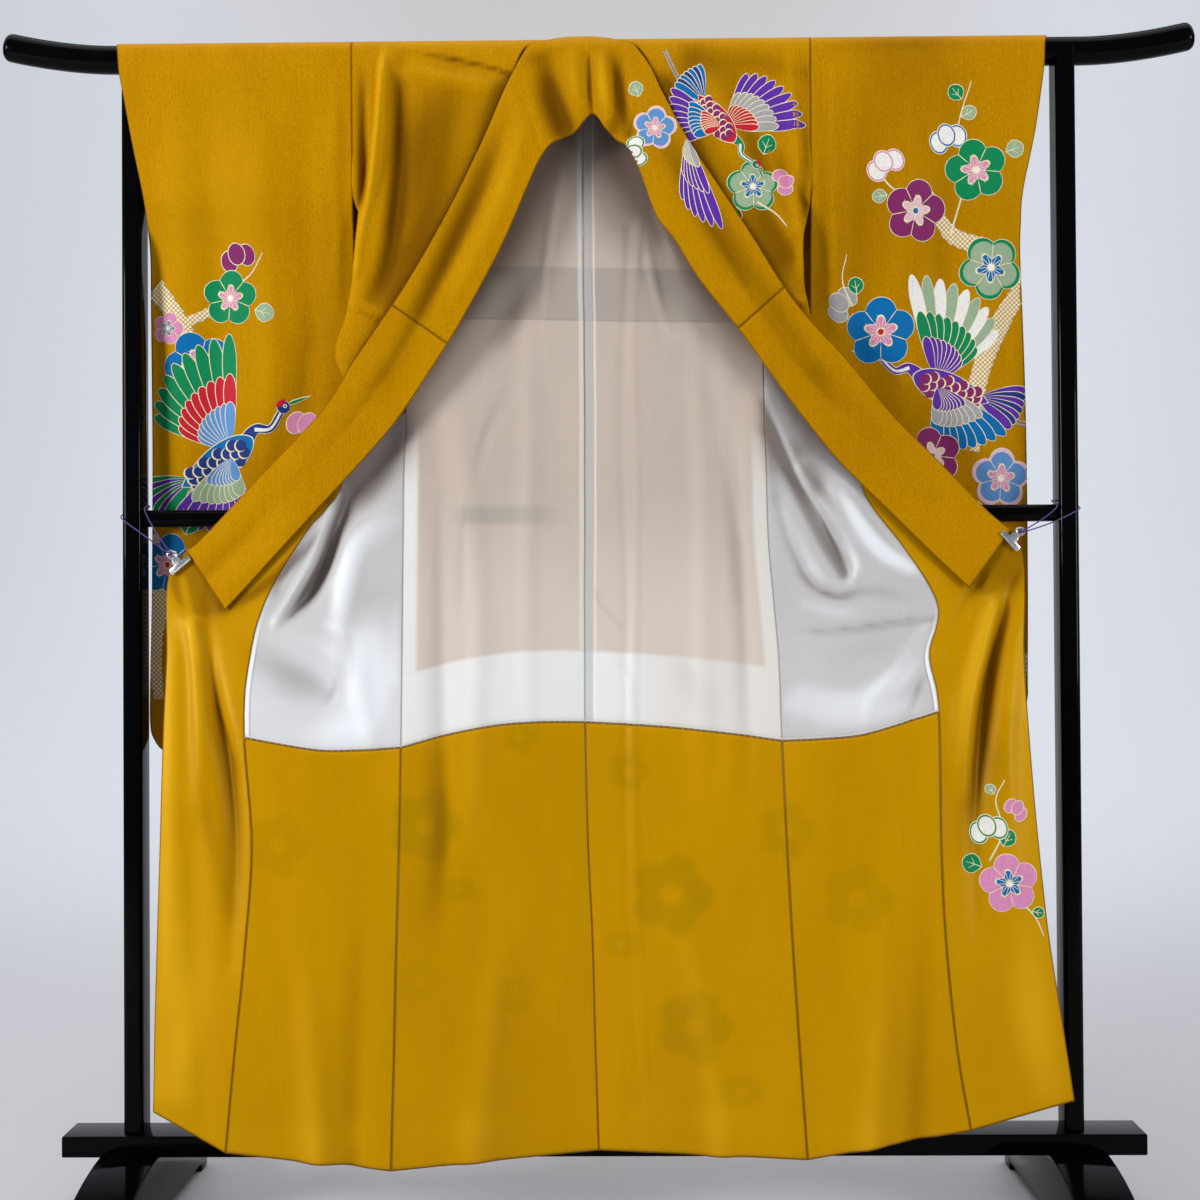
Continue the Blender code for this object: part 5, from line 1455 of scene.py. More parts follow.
def stitchLine(piece, place):
    # A line of the inner face's own points, set in from the chosen border and lifted clear.
    mesh = piece.data
    count = len(mesh.vertices) // 2
    points = np.empty(len(mesh.vertices) * 3)
    mesh.vertices.foreach_get("co", points)
    shell = points.reshape(-1, 3)[count:]
    rows = piece["rows"]
    grid = shell.reshape(rows, -1, 3)
    lower = points.reshape(-1, 3)[:count].reshape(rows, -1, 3)
    out = unit(grid - lower)
    first, _, bottom, top = edgeDistances(grid)
    if place == "edge":
        best = np.argmin(np.abs(first - stitches["inset"]), axis=1)
        pick = (np.arange(rows), best)
    else:
        distance = bottom if place == "bottom" else top
        best = np.argmin(np.abs(distance - stitches["inset"]), axis=0)
        pick = (best, np.arange(grid.shape[1]))
    return grid[pick] + out[pick] * stitches["lift"]


def makeDyes():
    for name, colour in {**dyes, "bound dots": None}.items():
        tree, surface = newMaterial(f"dye {name}", 0.62, specular=0.12)
        height, tone = tree.group("crepe grain", grain_size=goldCrepe["grain"], streak_depth=0.5)
        if colour:
            deeper = tuple(c * 0.90 for c in colour)
            colour = tree.mix(tone.ramp(0.30, 0.55), deeper, colour)
        else:
            # White ground under a slanting grid of gold lines.
            x, _, z = tree.place().parts()
            turn = math.pi / pattern["hatch"]
            lines = ((x + z) * turn).sine().size().least(((x - z) * turn).sine().size())
            colour = tree.mix(lines.fall(0.26, 0.48), (240, 232, 202), (186, 136, 22))
        finish(tree, surface, colour, height, 0.75, goldCrepe["bump"])


def circleOutline(x, y, radius, flat=1.0):
    count = max(8, int(6.283 * radius / pattern["step"]))
    turns = np.linspace(0, 2 * math.pi, count, endpoint=False)
    return np.stack([x + radius * np.cos(turns), y + flat * radius * np.sin(turns)], axis=1)


def blossomOutline(radius, turn):
    # Five round petals side by side, as the union of five circles.
    count = max(30, int(8 * radius / pattern["step"]))
    turns = np.linspace(0, 2 * math.pi, count, endpoint=False)
    inPetal = (turns + math.pi / 5) % (2 * math.pi / 5) - math.pi / 5
    centre, petal = 0.56 * radius, 0.44 * radius
    reach = centre * np.cos(inPetal) + np.sqrt(petal**2 - (centre * np.sin(inPetal)) ** 2)
    return np.stack([reach * np.cos(turns + turn), reach * np.sin(turns + turn)], axis=1)


def starOutline(radius, turn):
    turns = np.linspace(0, 2 * math.pi, 40, endpoint=False)
    reach = radius * (0.52 + 0.48 * np.abs(np.cos(2.5 * turns)) ** 1.6)
    return np.stack([reach * np.cos(turns + turn), reach * np.sin(turns + turn)], axis=1)


def strokeOutline(line, widths, jag=0.0):
    # A brush stroke along a smooth line, its widths read along it, its edges stepped by jag.
    line = np.asarray(line, float)
    steps = np.linalg.norm(np.diff(line, axis=0), axis=1).sum() / pattern["step"] / 1.6
    places = np.linspace(0, len(line) - 1, max(6, int(steps)))
    middle = through(line, places)
    wide = np.interp(places, np.linspace(0, len(line) - 1, len(widths)), widths)[:, None] / 2
    way = unit(np.gradient(middle, axis=0))
    side = np.stack([-way[:, 1], way[:, 0]], axis=1)
    wide = wide + jag * (np.arange(len(places)) % 2)[:, None]
    return np.concatenate([middle + side * wide, (middle - side * wide)[::-1]])


def bladeOutline(start, end, width, fullest=0.62, tip=0.55):
    # A feather or leaf: narrow at the root, fullest further on, with a rounded or pointed end.
    start, end = np.asarray(start, float), np.asarray(end, float)
    length = np.linalg.norm(end - start)
    count = max(7, int(length / pattern["step"] / 1.5))
    share = (1 - np.cos(np.linspace(0, math.pi, count))) / 2
    rise = np.sin(np.minimum(share / fullest, 1) * math.pi / 2) ** 0.85
    fall = np.where(share > fullest, np.maximum(1 - ((share - fullest) / (1 - fullest)) ** 2, 0) ** tip, 1)
    half = width / 2 * rise * fall
    way = (end - start) / length
    side = np.array([-way[1], way[0]])
    middle = start + way * (share * length)[:, None]
    first = middle + side * half[:, None]
    second = (middle - side * half[:, None])[::-1]
    return np.concatenate([first, second[1:-1]])


class Drawing:
    # Shapes in painter's order, each with its dye, in metres round the motif's own middle.
    def __init__(self):
        self.shapes = []
        self.knots = []
        self.place(0, 0)

    def shownKnots(self):
        # Knots that no shape drawn later covers.
        shown = []
        for x, y, order in self.knots:
            for points, _ in self.shapes[order:]:
                (ax, ay), (bx, by) = points.T, np.roll(points, -1, axis=0).T
                crosses = ((ay > y) != (by > y)) & (x < ax + (bx - ax) * (y - ay) / (by - ay + 1e-12))
                if crosses.sum() % 2:
                    break
            else:
                shown.append((x, y))
        return shown

    def place(self, x, y, turn=0.0, size=1.0, mirror=False):
        self.origin = np.array([x, y])
        self.turn, self.size, self.mirror = math.radians(turn), size, mirror

    def add(self, outline, dye):
        points = np.asarray(outline, float) * self.size
        if self.mirror:
            points = points * (-1, 1)
        cos, sin = math.cos(self.turn), math.sin(self.turn)
        points = points @ np.array([[cos, sin], [-sin, cos]]) + self.origin
        x, y = points.T
        if (x * np.roll(y, -1) - y * np.roll(x, -1)).sum() < 0:
            points = points[::-1]
        self.shapes.append((points, dye))


def blossom(art, x, y, radius, style, turn=0.0):
    edge, petal, star, heart = pattern["blossomStyles"][style]
    line = pattern["line"]
    turn = math.radians(turn)
    art.place(x, y)
    art.add(blossomOutline(radius, turn), "cream line")
    art.add(blossomOutline(radius - line, turn), edge)
    if petal != edge:
        art.add(blossomOutline(radius * 0.86, turn), petal)
    for k in range(5):
        angle = turn + math.pi / 5 + 2 * math.pi * k / 5
        ends = [np.array([math.cos(angle), math.sin(angle)]) * radius * r for r in (0.42, 0.72)]
        art.add(strokeOutline(ends, (line, line)), "cream line")
    art.add(starOutline(radius * 0.50, turn), "cream line")
    art.add(starOutline(radius * 0.44, turn), star)
    for k in range(15):
        angle = turn + 2 * math.pi * (k + 0.5) / 15
        ends = [np.array([math.cos(angle), math.sin(angle)]) * radius * r
                for r in (0.10, 0.36 + 0.08 * (k % 2))]
        art.add(strokeOutline(ends, (line * 0.7, line * 0.7)), "cream line")
    art.add(circleOutline(0, 0, radius * 0.13), "cream line")
    art.add(circleOutline(0, 0, radius * 0.09), heart)
    for k in range(15):
        angle = turn + 2 * math.pi * (k + 0.5) / 15
        reach = radius * (0.40 + 0.08 * (k % 2))
        art.knots.append((x + reach * math.cos(angle), y + reach * math.sin(angle), len(art.shapes)))


def buds(art, x, y, size, dye, turn=0.0, edge="cream line"):
    # Three egg-shaped buds, the middle one in front.
    art.place(x, y, turn)
    line = pattern["line"]
    for offset, rise in ((-0.52, 0.06), (0.52, 0.06), (0.0, 0.30)):
        centre = (offset * size, rise * size)
        art.add(circleOutline(*centre, size * 0.50, 1.25), "cream line")
        if edge != "cream line":
            art.add(circleOutline(*centre, size * 0.50 - line, 1.25), edge)
            art.add(circleOutline(*centre, size * 0.50 - 2.6 * line, 1.25), dye)
        else:
            art.add(circleOutline(*centre, size * 0.50 - line, 1.25), dye)


def leaf(art, x, y, length, dye, turn=0.0):
    # A round young leaf with a midrib and two veins.
    art.place(x, y, turn)
    line = pattern["line"]
    art.add(bladeOutline((0, 0), (0, length), length * 0.94, 0.46, 0.55), "cream line")
    art.add(bladeOutline((0, line), (0, length - line), length * 0.94 - 2 * line, 0.46, 0.55), dye)
    art.add(strokeOutline([(0, 0), (0, length * 0.80)], (line, line * 0.6)), "cream line")
    for way in (-1, 1):
        vein = [(0, length * 0.34), (way * length * 0.24, length * 0.58)]
        art.add(strokeOutline(vein, (line * 0.8, line * 0.5)), "cream line")


def twig(art, line, width=0.0022):
    art.place(0, 0)
    art.add(strokeOutline(line, (width * 1.3, width * 0.7)), "cream line")


def branch(art, line, widths):
    art.place(0, 0)
    art.add(strokeOutline(line, widths, 0.0016), "bound dots")


def wing(art, root, fan, reach, count, rows):
    # Rows of feathers from the longest to the shortest, each fanned about the shoulder.
    line = pattern["line"] / art.size
    for dye, share, width in rows:
        for i in range(count):
            step = i / (count - 1)
            angle = math.radians(fan[0] + (fan[1] - fan[0]) * step)
            length = share * (reach[0] + (reach[1] - reach[0]) * step**0.8)
            way = np.array([math.cos(angle), math.sin(angle)])
            start = np.asarray(root) + way * length * 0.10
            end = np.asarray(root) + way * length
            feather = dye[i % len(dye)] if isinstance(dye, tuple) else dye
            art.add(bladeOutline(start, end, width, 0.72, 0.5), "cream line")
            art.add(bladeOutline(start, end - way * line, width - 2 * line, 0.72, 0.5), feather)


def crane(art, x, y, size, turn, mirror, colours):
    art.place(x, y, turn, size, mirror)
    line = pattern["line"] / size
    for low in (-0.045, -0.075):
        art.add(strokeOutline([(-0.28, low), (-0.62, low - 0.05), (-0.95, low - 0.02)],
                              (0.022, 0.014, 0.018)), "ash grey")
    wing(art, (-0.22, 0.0), (158, 206), (0.44, 0.40), 7, [(colours["tail"], 1.0, 0.100)])
    wing(art, (0.12, 0.06), (128, 62), (0.64, 0.88), 9, [
        (colours["long"], 1.0, 0.120), (colours["middle"], 0.66, 0.110), (colours["short"], 0.42, 0.090),
    ])
    neck = [(0.20, 0.02), (0.36, 0.10), (0.47, 0.05), (0.60, 0.12)]
    art.add(strokeOutline(neck, (0.16, 0.085, 0.062, 0.058)), "cream line")
    art.add(strokeOutline(neck, (0.15 - line, 0.080 - line, 0.050, 0.046)), colours["neck"])
    art.add(strokeOutline(neck[1:], (0.030, 0.020, 0.016)), "white")
    art.add(bladeOutline((-0.34, -0.02), (0.32, 0.05), 0.27, 0.60, 0.6), "cream line")
    art.add(bladeOutline((-0.33, -0.02), (0.31, 0.05), 0.27 - 2 * line, 0.60, 0.6), colours["body"])
    for column in range(8):
        along = -0.235 + 0.062 * column
        middle = -0.015 + 0.065 * (along + 0.33)
        rise = 0.088 * math.sqrt(max(1 - (along / 0.34) ** 2, 0.05))
        for row in range(3):
            across = middle + (row - 1 + 0.5 * (column % 2)) * rise * 0.85
            if abs(across - middle) > rise * 1.05:
                continue
            art.add(circleOutline(along, across, 0.046), "cream line")
            art.add(circleOutline(along + 0.010, across, 0.046 - line * 0.55), colours["scale"])
    wing(art, (0.10, 0.02), (-158, -104), (0.70, 0.50), 8, [
        (colours["nearLong"], 1.0, 0.120), (colours["nearMiddle"], 0.64, 0.105),
        (colours["short"], 0.40, 0.085),
    ])
    art.add(circleOutline(0.635, 0.145, 0.052), "cream line")
    art.add(circleOutline(0.635, 0.145, 0.052 - line * 0.8), colours["neck"])
    art.add(bladeOutline((0.675, 0.150), (0.86, 0.125), 0.036, 0.25, 0.8), "cream line")
    art.add(bladeOutline((0.675, 0.150), (0.84, 0.127), 0.022, 0.25, 0.8), "leaf green")
    art.add(bladeOutline((0.585, 0.175), (0.675, 0.188), 0.040, 0.5, 0.6), "crimson")
    art.add(circleOutline(0.648, 0.148, 0.015), "white")
    art.add(circleOutline(0.648, 0.148, 0.008), "ink")


def laySkin(name, target, art, way=1):
    # All shapes are cut into one flat mesh, then carried onto the cloth from the front (way 1) or
    # from behind (way -1); the last shape drawn wins.
    mesh = target.data
    corners = [vertex.co[:] for vertex in mesh.vertices]
    tree = BVHTree.FromPolygons(corners, [tuple(p.vertices) for p in mesh.polygons])
    points, faces, dyeNames = [], [], []
    for outline, dye in art.shapes:
        faces.append(list(range(len(points), len(points) + len(outline))))
        points += [Vector(p) for p in outline]
        dyeNames.append(dye)
    flat = np.array([tuple(p) for p in points])
    low, high = flat.min(axis=0), flat.max(axis=0)
    grid = pattern["grid"]
    for i, x in enumerate(np.arange(low[0], high[0], grid)):
        for z in np.arange(low[1] + (i % 2) * grid / 2, high[1], grid):
            points.append(Vector((x, z)))
    found = delaunay_2d_cdt(points, [], faces, 1, 1e-6)
    placed = []
    for spot in found[0]:
        hit = tree.ray_cast(Vector((spot.x, -way, spot.y)), Vector((0, way, 0)))[0]
        if hit is None:
            depth = placed[-1].y if placed and placed[-1] else 0
            guess = tree.find_nearest(Vector((spot.x, depth, spot.y)))[0]
            near = guess and math.hypot(guess.x - spot.x, guess.z - spot.y) < pattern["overhang"]
            hit = guess if near else None
        placed.append(hit)
    kept = [
        (tuple(face), dyeNames[max(origin)]) for face, origin in zip(found[2], found[5])
        if origin and all(placed[v] is not None for v in face)
    ]
    used = sorted({v for face, _ in kept for v in face})
    index = {v: i for i, v in enumerate(used)}
    count = len(used)
    top = [placed[v] - Vector((0, way * pattern["lift"], 0)) for v in used]
    under = [p + Vector((0, way * pattern["skin"], 0)) for p in top]
    faces = [tuple(index[v] for v in face[::way]) for face, _ in kept]
    edges = {}
    for face in faces:
        for a, b in zip(face, face[1:] + face[:1]):
            edges[a, b] = edges.get((a, b), 0) + 1
    rim = [(a, b) for a, b in edges if (b, a) not in edges]
    whole = faces + [tuple(v + count for v in reversed(face)) for face in faces]
    whole += [(b, a, a + count, b + count) for a, b in rim]
    names = sorted({dye for _, dye in kept})
    skin = bpy.data.meshes.new(name)
    skin.from_pydata(top + under, [], whole)
    for dye in names:
        skin.materials.append(materials[f"dye {dye}"])
    slot = {dye: i for i, dye in enumerate(names)}
    indices = [slot[dye] for _, dye in kept]
    skin.polygons.foreach_set("material_index", indices + indices + [0] * len(rim))
    smoothFaces(skin)
    pieces[name] = linkPiece(name, skin)
    knots = [tree.ray_cast(Vector((x, -way, z)), Vector((0, way, 0)))[0] for x, z in art.shownKnots()]
    knots = [spot - Vector((0, way * pattern["lift"] * 1.4, 0)) for spot in knots if spot is not None]
    pieces[f"{name}Knots"] = sewRow(
        f"{name}Knots", knots, [], {"Size": stitches["knot"]}, "dye cream line", "knots")
    print(name, len(whole), "faces")


warm = {"tail": ("leaf green", "violet"), "long": "leaf green", "middle": "crimson", "short": "sky blue",
        "neck": "night blue", "body": "sea blue", "scale": "night blue", "nearLong": "violet",
        "nearMiddle": "pale green"}
cool = {"tail": ("violet", "night blue"), "long": ("white", "pale green"), "middle": "leaf green",
        "short": "violet", "neck": "violet", "body": "violet", "scale": "plum", "nearLong": "sea blue",
        "nearMiddle": "ash grey"}
dusk = {"tail": ("sea blue", "night blue"), "long": "violet", "middle": "ash grey", "short": "crimson",
        "neck": "leaf green", "body": "crimson", "scale": "plum", "nearLong": "violet",
        "nearMiddle": "sea blue"}


def leftSleevePattern(art):
    branch(art, [(-0.640, 1.335), (-0.600, 1.280), (-0.575, 1.210), (-0.560, 1.140)],
           (0.030, 0.022, 0.020, 0.012))
    branch(art, [(-0.600, 1.280), (-0.560, 1.300), (-0.520, 1.335)], (0.014, 0.008))
    branch(art, [(-0.648, 0.980), (-0.635, 0.900), (-0.646, 0.820), (-0.640, 0.740)],
           (0.016, 0.026, 0.022, 0.012))
    twig(art, [(-0.520, 1.335), (-0.497, 1.352), (-0.480, 1.380)])
    buds(art, -0.516, 1.372, 0.026, "plum", 18)
    blossom(art, -0.530, 1.318, 0.040, "green", 12)
    leaf(art, -0.494, 1.300, 0.030, "pale green", -105)
    blossom(art, -0.577, 1.222, 0.050, "blue", 40)
    blossom(art, -0.620, 1.275, 0.024, "pink", 0)
    crane(art, -0.548, 1.080, 0.190, 28, False, warm)
    buds(art, -0.425, 1.130, 0.028, "pink", -30)
    blossom(art, -0.625, 0.935, 0.046, "blue", 5)
    leaf(art, -0.598, 0.978, 0.030, "leaf green", -20)


def rightSleevePattern(art):
    branch(art, [(0.470, 1.455), (0.505, 1.400), (0.560, 1.375), (0.605, 1.330)],
           (0.012, 0.020, 0.024, 0.018))
    branch(art, [(0.612, 1.330), (0.575, 1.270), (0.545, 1.190), (0.540, 1.090)],
           (0.020, 0.028, 0.024, 0.012))
    branch(art, [(0.612, 0.800), (0.604, 0.750), (0.590, 0.712)], (0.008, 0.014, 0.008))
    twig(art, [(0.505, 1.400), (0.520, 1.470), (0.512, 1.545), (0.530, 1.610)])
    twig(art, [(0.395, 1.490), (0.420, 1.460), (0.455, 1.448)])
    leaf(art, 0.517, 1.585, 0.026, "leaf green", 40)
    leaf(art, 0.516, 1.560, 0.024, "pale green", -60)
    buds(art, 0.498, 1.528, 0.027, "white", 20, "sea blue")
    blossom(art, 0.537, 1.486, 0.044, "green", 30)
    leaf(art, 0.578, 1.510, 0.028, "pale green", -70)
    buds(art, 0.410, 1.492, 0.027, "white", 30, "pink")
    blossom(art, 0.452, 1.430, 0.044, "plum", 8)
    leaf(art, 0.412, 1.452, 0.022, "pale green", 95)
    blossom(art, 0.562, 1.352, 0.046, "grey", 50)
    crane(art, 0.503, 1.178, 0.175, -14, True, cool)
    blossom(art, 0.405, 1.262, 0.050, "blue", 18)
    buds(art, 0.352, 1.300, 0.026, "ash grey", 60)
    leaf(art, 0.372, 1.316, 0.026, "leaf green", 10)
    twig(art, [(0.365, 1.300), (0.350, 1.335), (0.356, 1.372)])
    blossom(art, 0.480, 1.085, 0.042, "plum", 30)
    blossom(art, 0.578, 1.052, 0.044, "star", 14)
    leaf(art, 0.545, 1.020, 0.030, "leaf green", 160)


def rightShoulderPattern(art):
    blossom(art, 0.220, 1.462, 0.038, "grey", 20)
    crane(art, 0.168, 1.557, 0.130, -60, False, dusk)
    leaf(art, 0.236, 1.510, 0.030, "leaf green", -20)
    leaf(art, 0.200, 1.432, 0.026, "leaf green", 150)
    buds(art, 0.262, 1.470, 0.020, "pink", -70)
    twig(art, [(0.226, 1.440), (0.250, 1.425), (0.268, 1.405)])


def overCollarPattern(art):
    blossom(art, 0.082, 1.545, 0.032, "star", 10)
    buds(art, 0.058, 1.512, 0.022, "white", 100, "leaf green")
    leaf(art, 0.060, 1.590, 0.024, "pale green", 20)
    art.place(0, 0)
    rows = [("violet", 1.0, 0.0135), ("violet", 0.62, 0.011), ("ash grey", 0.34, 0.010)]
    wing(art, (0.127, 1.533), (-94, -70), (0.092, 0.142), 6, rows)


def okumiPattern(art):
    twig(art, [(0.530, 0.520), (0.548, 0.560), (0.540, 0.602), (0.552, 0.630)])
    twig(art, [(0.565, 0.470), (0.590, 0.445), (0.602, 0.418)])
    blossom(art, 0.556, 0.490, 0.041, "pink", 26)
    leaf(art, 0.520, 0.512, 0.030, "leaf green", 70)
    leaf(art, 0.548, 0.540, 0.026, "leaf green", -30)
    buds(art, 0.530, 0.560, 0.026, "white", 15, "leaf green")
    buds(art, 0.566, 0.588, 0.018, "pink", -40)
    leaf(art, 0.538, 0.610, 0.016, "pale green", 30)
    leaf(art, 0.586, 0.452, 0.018, "leaf green", -100)


def backPattern(art, side):
    # The outside's own sprays, where their print shows through the facing, and one crane each side.
    across = 1 if side == "right" else -1
    for k, (x, z, radius, petals, _) in enumerate(body["ghosts"]):
        x, z, radius = x / 1000, z / 1000, radius / 1000
        if (x > cloth["neckMiddle"]) != (side == "right") or not 0.03 < abs(x - cloth["neckMiddle"]) < 0.5:
            continue
        twig(art, [(x, z - radius), (x + 0.02 * across, z - radius - 0.05), (x, z - radius - 0.09)])
        leaf(art, x + radius * across, z - 0.6 * radius, 0.032, "leaf green", -110 * across)
        if petals == 5:
            blossom(art, x, z, radius, ("plum", "blue", "pink", "grey", "green")[k % 5], 20 * k)
        else:
            buds(art, x, z, radius, ("white", "pink")[k % 2], 15 * k, "leaf green")
    crane(art, *((-0.150, 1.340, 0.170, 24, False, cool) if side == "left" else
                 (0.110, 1.180, 0.160, -20, True, warm)))


def makePattern():
    sewing["knots"] = makeSewingTree("knots at points", False)
    sewing["stitches"] = makeSewingTree("stitches along a line", True)
    sewStitches()
    for name, node, draw in (
        ("patternSleeveLeft", "sleeve_left", leftSleevePattern),
        ("patternSleeveRight", "sleeve_right", rightSleevePattern),
        ("patternShoulder", "body_right", rightShoulderPattern),
        ("patternCollar", "over_collar", overCollarPattern),
        ("patternOkumi", "okumi_facing_right", okumiPattern),
        ("patternBackLeft", "body_left", lambda art: backPattern(art, "left")),
        ("patternBackRight", "body_right", lambda art: backPattern(art, "right")),
        ("patternBackSleeveLeft", "sleeve_left", leftSleevePattern),
        ("patternBackSleeveRight", "sleeve_right", rightSleevePattern),
    ):
        art = Drawing()
        draw(art)
        laySkin(name, pieces[node], art, -1 if "Back" in name else 1)


# Stand

stand = {
    "barReach": 0.850, "barRadius": 0.0200, "barHeight": 1.661, "barStraight": 0.690, "barRise": 0.021,
    "railRadius": 0.01225, "railHeight": 1.0005,
    "postPlace": 0.665, "postWidth": 0.028, "postDepth": 0.045, "postRounding": 0.007, "cheekRise": 0.004,
    "beamReach": 0.7625, "beamDepth": 0.069, "beamTop": 0.1276, "beamThickness": 0.0296,
    "footReach": 0.240, "footWidth": 0.082, "footCrown": 0.104, "footTip": 0.010,
    "padLength": 0.035, "padRelief": 0.013, "gap": 0.0003,
    "barRounding": 0.009, "padRounding": 0.010, "footPast": 0.004, "footEdge": 0.0025,
    "beamRounding": 0.0025, "beamEdge": 0.0018,
}


def shadedMesh(name, points, faces, material, angle=32):
    mesh = bpy.data.meshes.new(name)
    mesh.from_pydata([tuple(map(float, p)) for p in points], [], faces)
    mesh.materials.append(materials[material])
    faceOutwards(mesh)
    smoothFaces(mesh)
    mesh.set_sharp_from_angle(angle=math.radians(angle))
    return linkPiece(name, mesh)


def applyModifiers(piece, angle=32):
    graph = bpy.context.evaluated_depsgraph_get()
    mesh = bpy.data.meshes.new_from_object(piece.evaluated_get(graph))
    piece.modifiers.clear()
    piece.data = mesh
    smoothFaces(mesh)
    mesh.set_sharp_from_angle(angle=math.radians(angle))
    return piece


def combine(piece, others, operation):
    for other in others:
        change = piece.modifiers.new(operation.title(), "BOOLEAN")
        change.operation = operation
        change.solver = "EXACT"
        change.object = other
    applyModifiers(piece)
    for other in others:
        bpy.data.objects.remove(other)
    return piece


def softenEdges(piece, width, segments=3, angle=32):
    change = piece.modifiers.new("Bevel", "BEVEL")
    change.width = width
    change.segments = segments
    change.limit_method = "ANGLE"
    change.angle_limit = math.radians(angle)
    change.harden_normals = False
    return applyModifiers(piece)


def roundedSection(width, depth, rounding, cuts=8):
    points = []
    for k, (sx, sy) in enumerate(((1, 1), (-1, 1), (-1, -1), (1, -1))):
        for i in range(cuts + 1):
            turn = math.radians(90 * (k + i / cuts))
            points.append((sx * (width / 2 - rounding) + rounding * math.cos(turn),
                           sy * (depth / 2 - rounding) + rounding * math.sin(turn)))
    return points


def prism(name, outline, place, length, material):
    count = len(outline)
    points = [place(u, v, 0) for u, v in outline] + [place(u, v, length) for u, v in outline]
    faces = [tuple(range(count))[::-1], tuple(range(count, 2 * count))]
    faces += [(i, (i + 1) % count, count + (i + 1) % count, count + i) for i in range(count)]
    return shadedMesh(name, points, faces, material)


def sweptRound(name, axis, radii, ringSides, material, closed=False):
    # A round bar along an axis, its section carried along without twist.
    axis = np.asarray(axis, dtype=float)
    radii = np.broadcast_to(radii, len(axis))
    if closed:
        ways = unit(np.roll(axis, -1, axis=0) - np.roll(axis, 1, axis=0))
    else:
        ways = unit(np.gradient(axis, axis=0))
    across = unit(np.cross(ways[0], (0.02, 1, 0.1)))
    points, faces, rings = [], [], len(axis)
    for centre, way, radius in zip(axis, ways, radii):
        across = unit(across - way * np.dot(across, way))
        over = np.cross(way, across)
        for i in range(ringSides):
            turn = 2 * math.pi * i / ringSides
            points.append(centre + radius * (math.cos(turn) * across + math.sin(turn) * over))
    for r in range(rings if closed else rings - 1):
        n = (r + 1) % rings
        for i in range(ringSides):
            j = (i + 1) % ringSides
            faces.append((r * ringSides + i, r * ringSides + j, n * ringSides + j, n * ringSides + i))
    if not closed:
        faces.append(tuple(range(ringSides)))
        faces.append(tuple(range((rings - 1) * ringSides, rings * ringSides))[::-1])
    made = shadedMesh(name, points, faces, material)
    lengths = np.concatenate([[0], np.cumsum(np.linalg.norm(np.diff(axis, axis=0), axis=1))])
    around = np.tile(np.arange(ringSides) / ringSides, rings)
    layUv(made.data, "cloth", np.stack([around, np.repeat(lengths, ringSides)], axis=1))
    return made


def makeBar():
    reach, radius = stand["barReach"], stand["barRadius"]
    rounding = stand["barRounding"]
    turns = np.radians((20, 40, 58, 74, 90))
    straight = list(np.linspace(-(reach - rounding), reach - rounding, 121))
    ends = list(reach - rounding + rounding * np.sin(turns))
    shrink = list(radius - rounding * (1 - np.cos(turns)))
    places = [-x for x in reversed(ends)] + straight + ends
    radii = shrink[::-1] + [radius] * len(straight) + shrink
    axis = []
    for x in places:
        beyond = max(abs(x) - stand["barStraight"], 0) / (reach - stand["barStraight"])
        axis.append((x, 0, stand["barHeight"] + stand["barRise"] * beyond**1.8))
    pieces["bar"] = sweptRound("bar", axis, radii, 64, "black lacquer")


def makePost(side, x):
    low = stand["beamTop"] + stand["gap"]
    length = stand["barHeight"] + stand["cheekRise"] - low
    outline = roundedSection(stand["postWidth"], stand["postDepth"], stand["postRounding"])
    post = prism(f"post_{side}", outline, lambda u, v, w: (x + u, v, low + w), length, "black lacquer")
    line = [(x + reach, 0, stand["barHeight"]) for reach in (-0.05, 0.05)]
    saddle = sweptRound("saddle", line, stand["barRadius"] + stand["gap"], 64, "black lacquer")
    combine(post, [saddle], "DIFFERENCE")
    pieces[f"post_{side}"] = post


def makeFoot(side, x):
    notch = stand["beamDepth"] / 2 + stand["gap"]
    floor = stand["beamTop"] - stand["beamThickness"] - stand["gap"]
    reach, tip, crown = stand["footReach"], stand["footTip"], stand["footCrown"]
    outline = [(reach, 0.0), (reach, tip)]
    for share in np.linspace(0.985, 0, 30):
        y = notch + (reach - notch) * share
        outline.append((y, tip + (crown - tip) * math.sqrt(1 - (y / (reach + stand["footPast"])) ** 2)))
    outline.append((notch, floor))
    outline += [(-y, z) for y, z in reversed(outline)]
    relief = reach - stand["padLength"]
    hollow = [(stand["padRounding"] * (1 - math.cos(t)) - relief, stand["padRelief"] * math.sin(t))
              for t in np.radians((0, 25, 50, 70, 90))]
    outline += hollow + [(-y, z) for y, z in reversed(hollow)]
    foot = prism(f"foot_{side}", outline, lambda u, v, w: (x - stand["footWidth"] / 2 + w, u, v),
                 stand["footWidth"], "black lacquer")
    softenEdges(foot, stand["footEdge"])
    pieces[f"foot_{side}"] = foot


def makeStand():
    makeBar()
    inner = stand["postPlace"] - stand["postWidth"] / 2 - stand["gap"]
    line = [(x, 0, stand["railHeight"]) for x in np.linspace(-inner, inner, 25)]
    pieces["rail"] = sweptRound("rail", line, stand["railRadius"], 48, "black lacquer")
    outline = roundedSection(stand["beamDepth"], stand["beamThickness"], stand["beamRounding"])
    middle = stand["beamTop"] - stand["beamThickness"] / 2
    beam = prism("beam", outline, lambda u, v, w: (w - stand["beamReach"], u, v + middle),
                 2 * stand["beamReach"], "black lacquer")
    softenEdges(beam, stand["beamEdge"], angle=60)
    pieces["beam"] = beam
    for side, sign in (("left", -1), ("right", 1)):
        makePost(side, sign * stand["postPlace"])
        makeFoot(side, sign * stand["postPlace"])


# Clips and ties

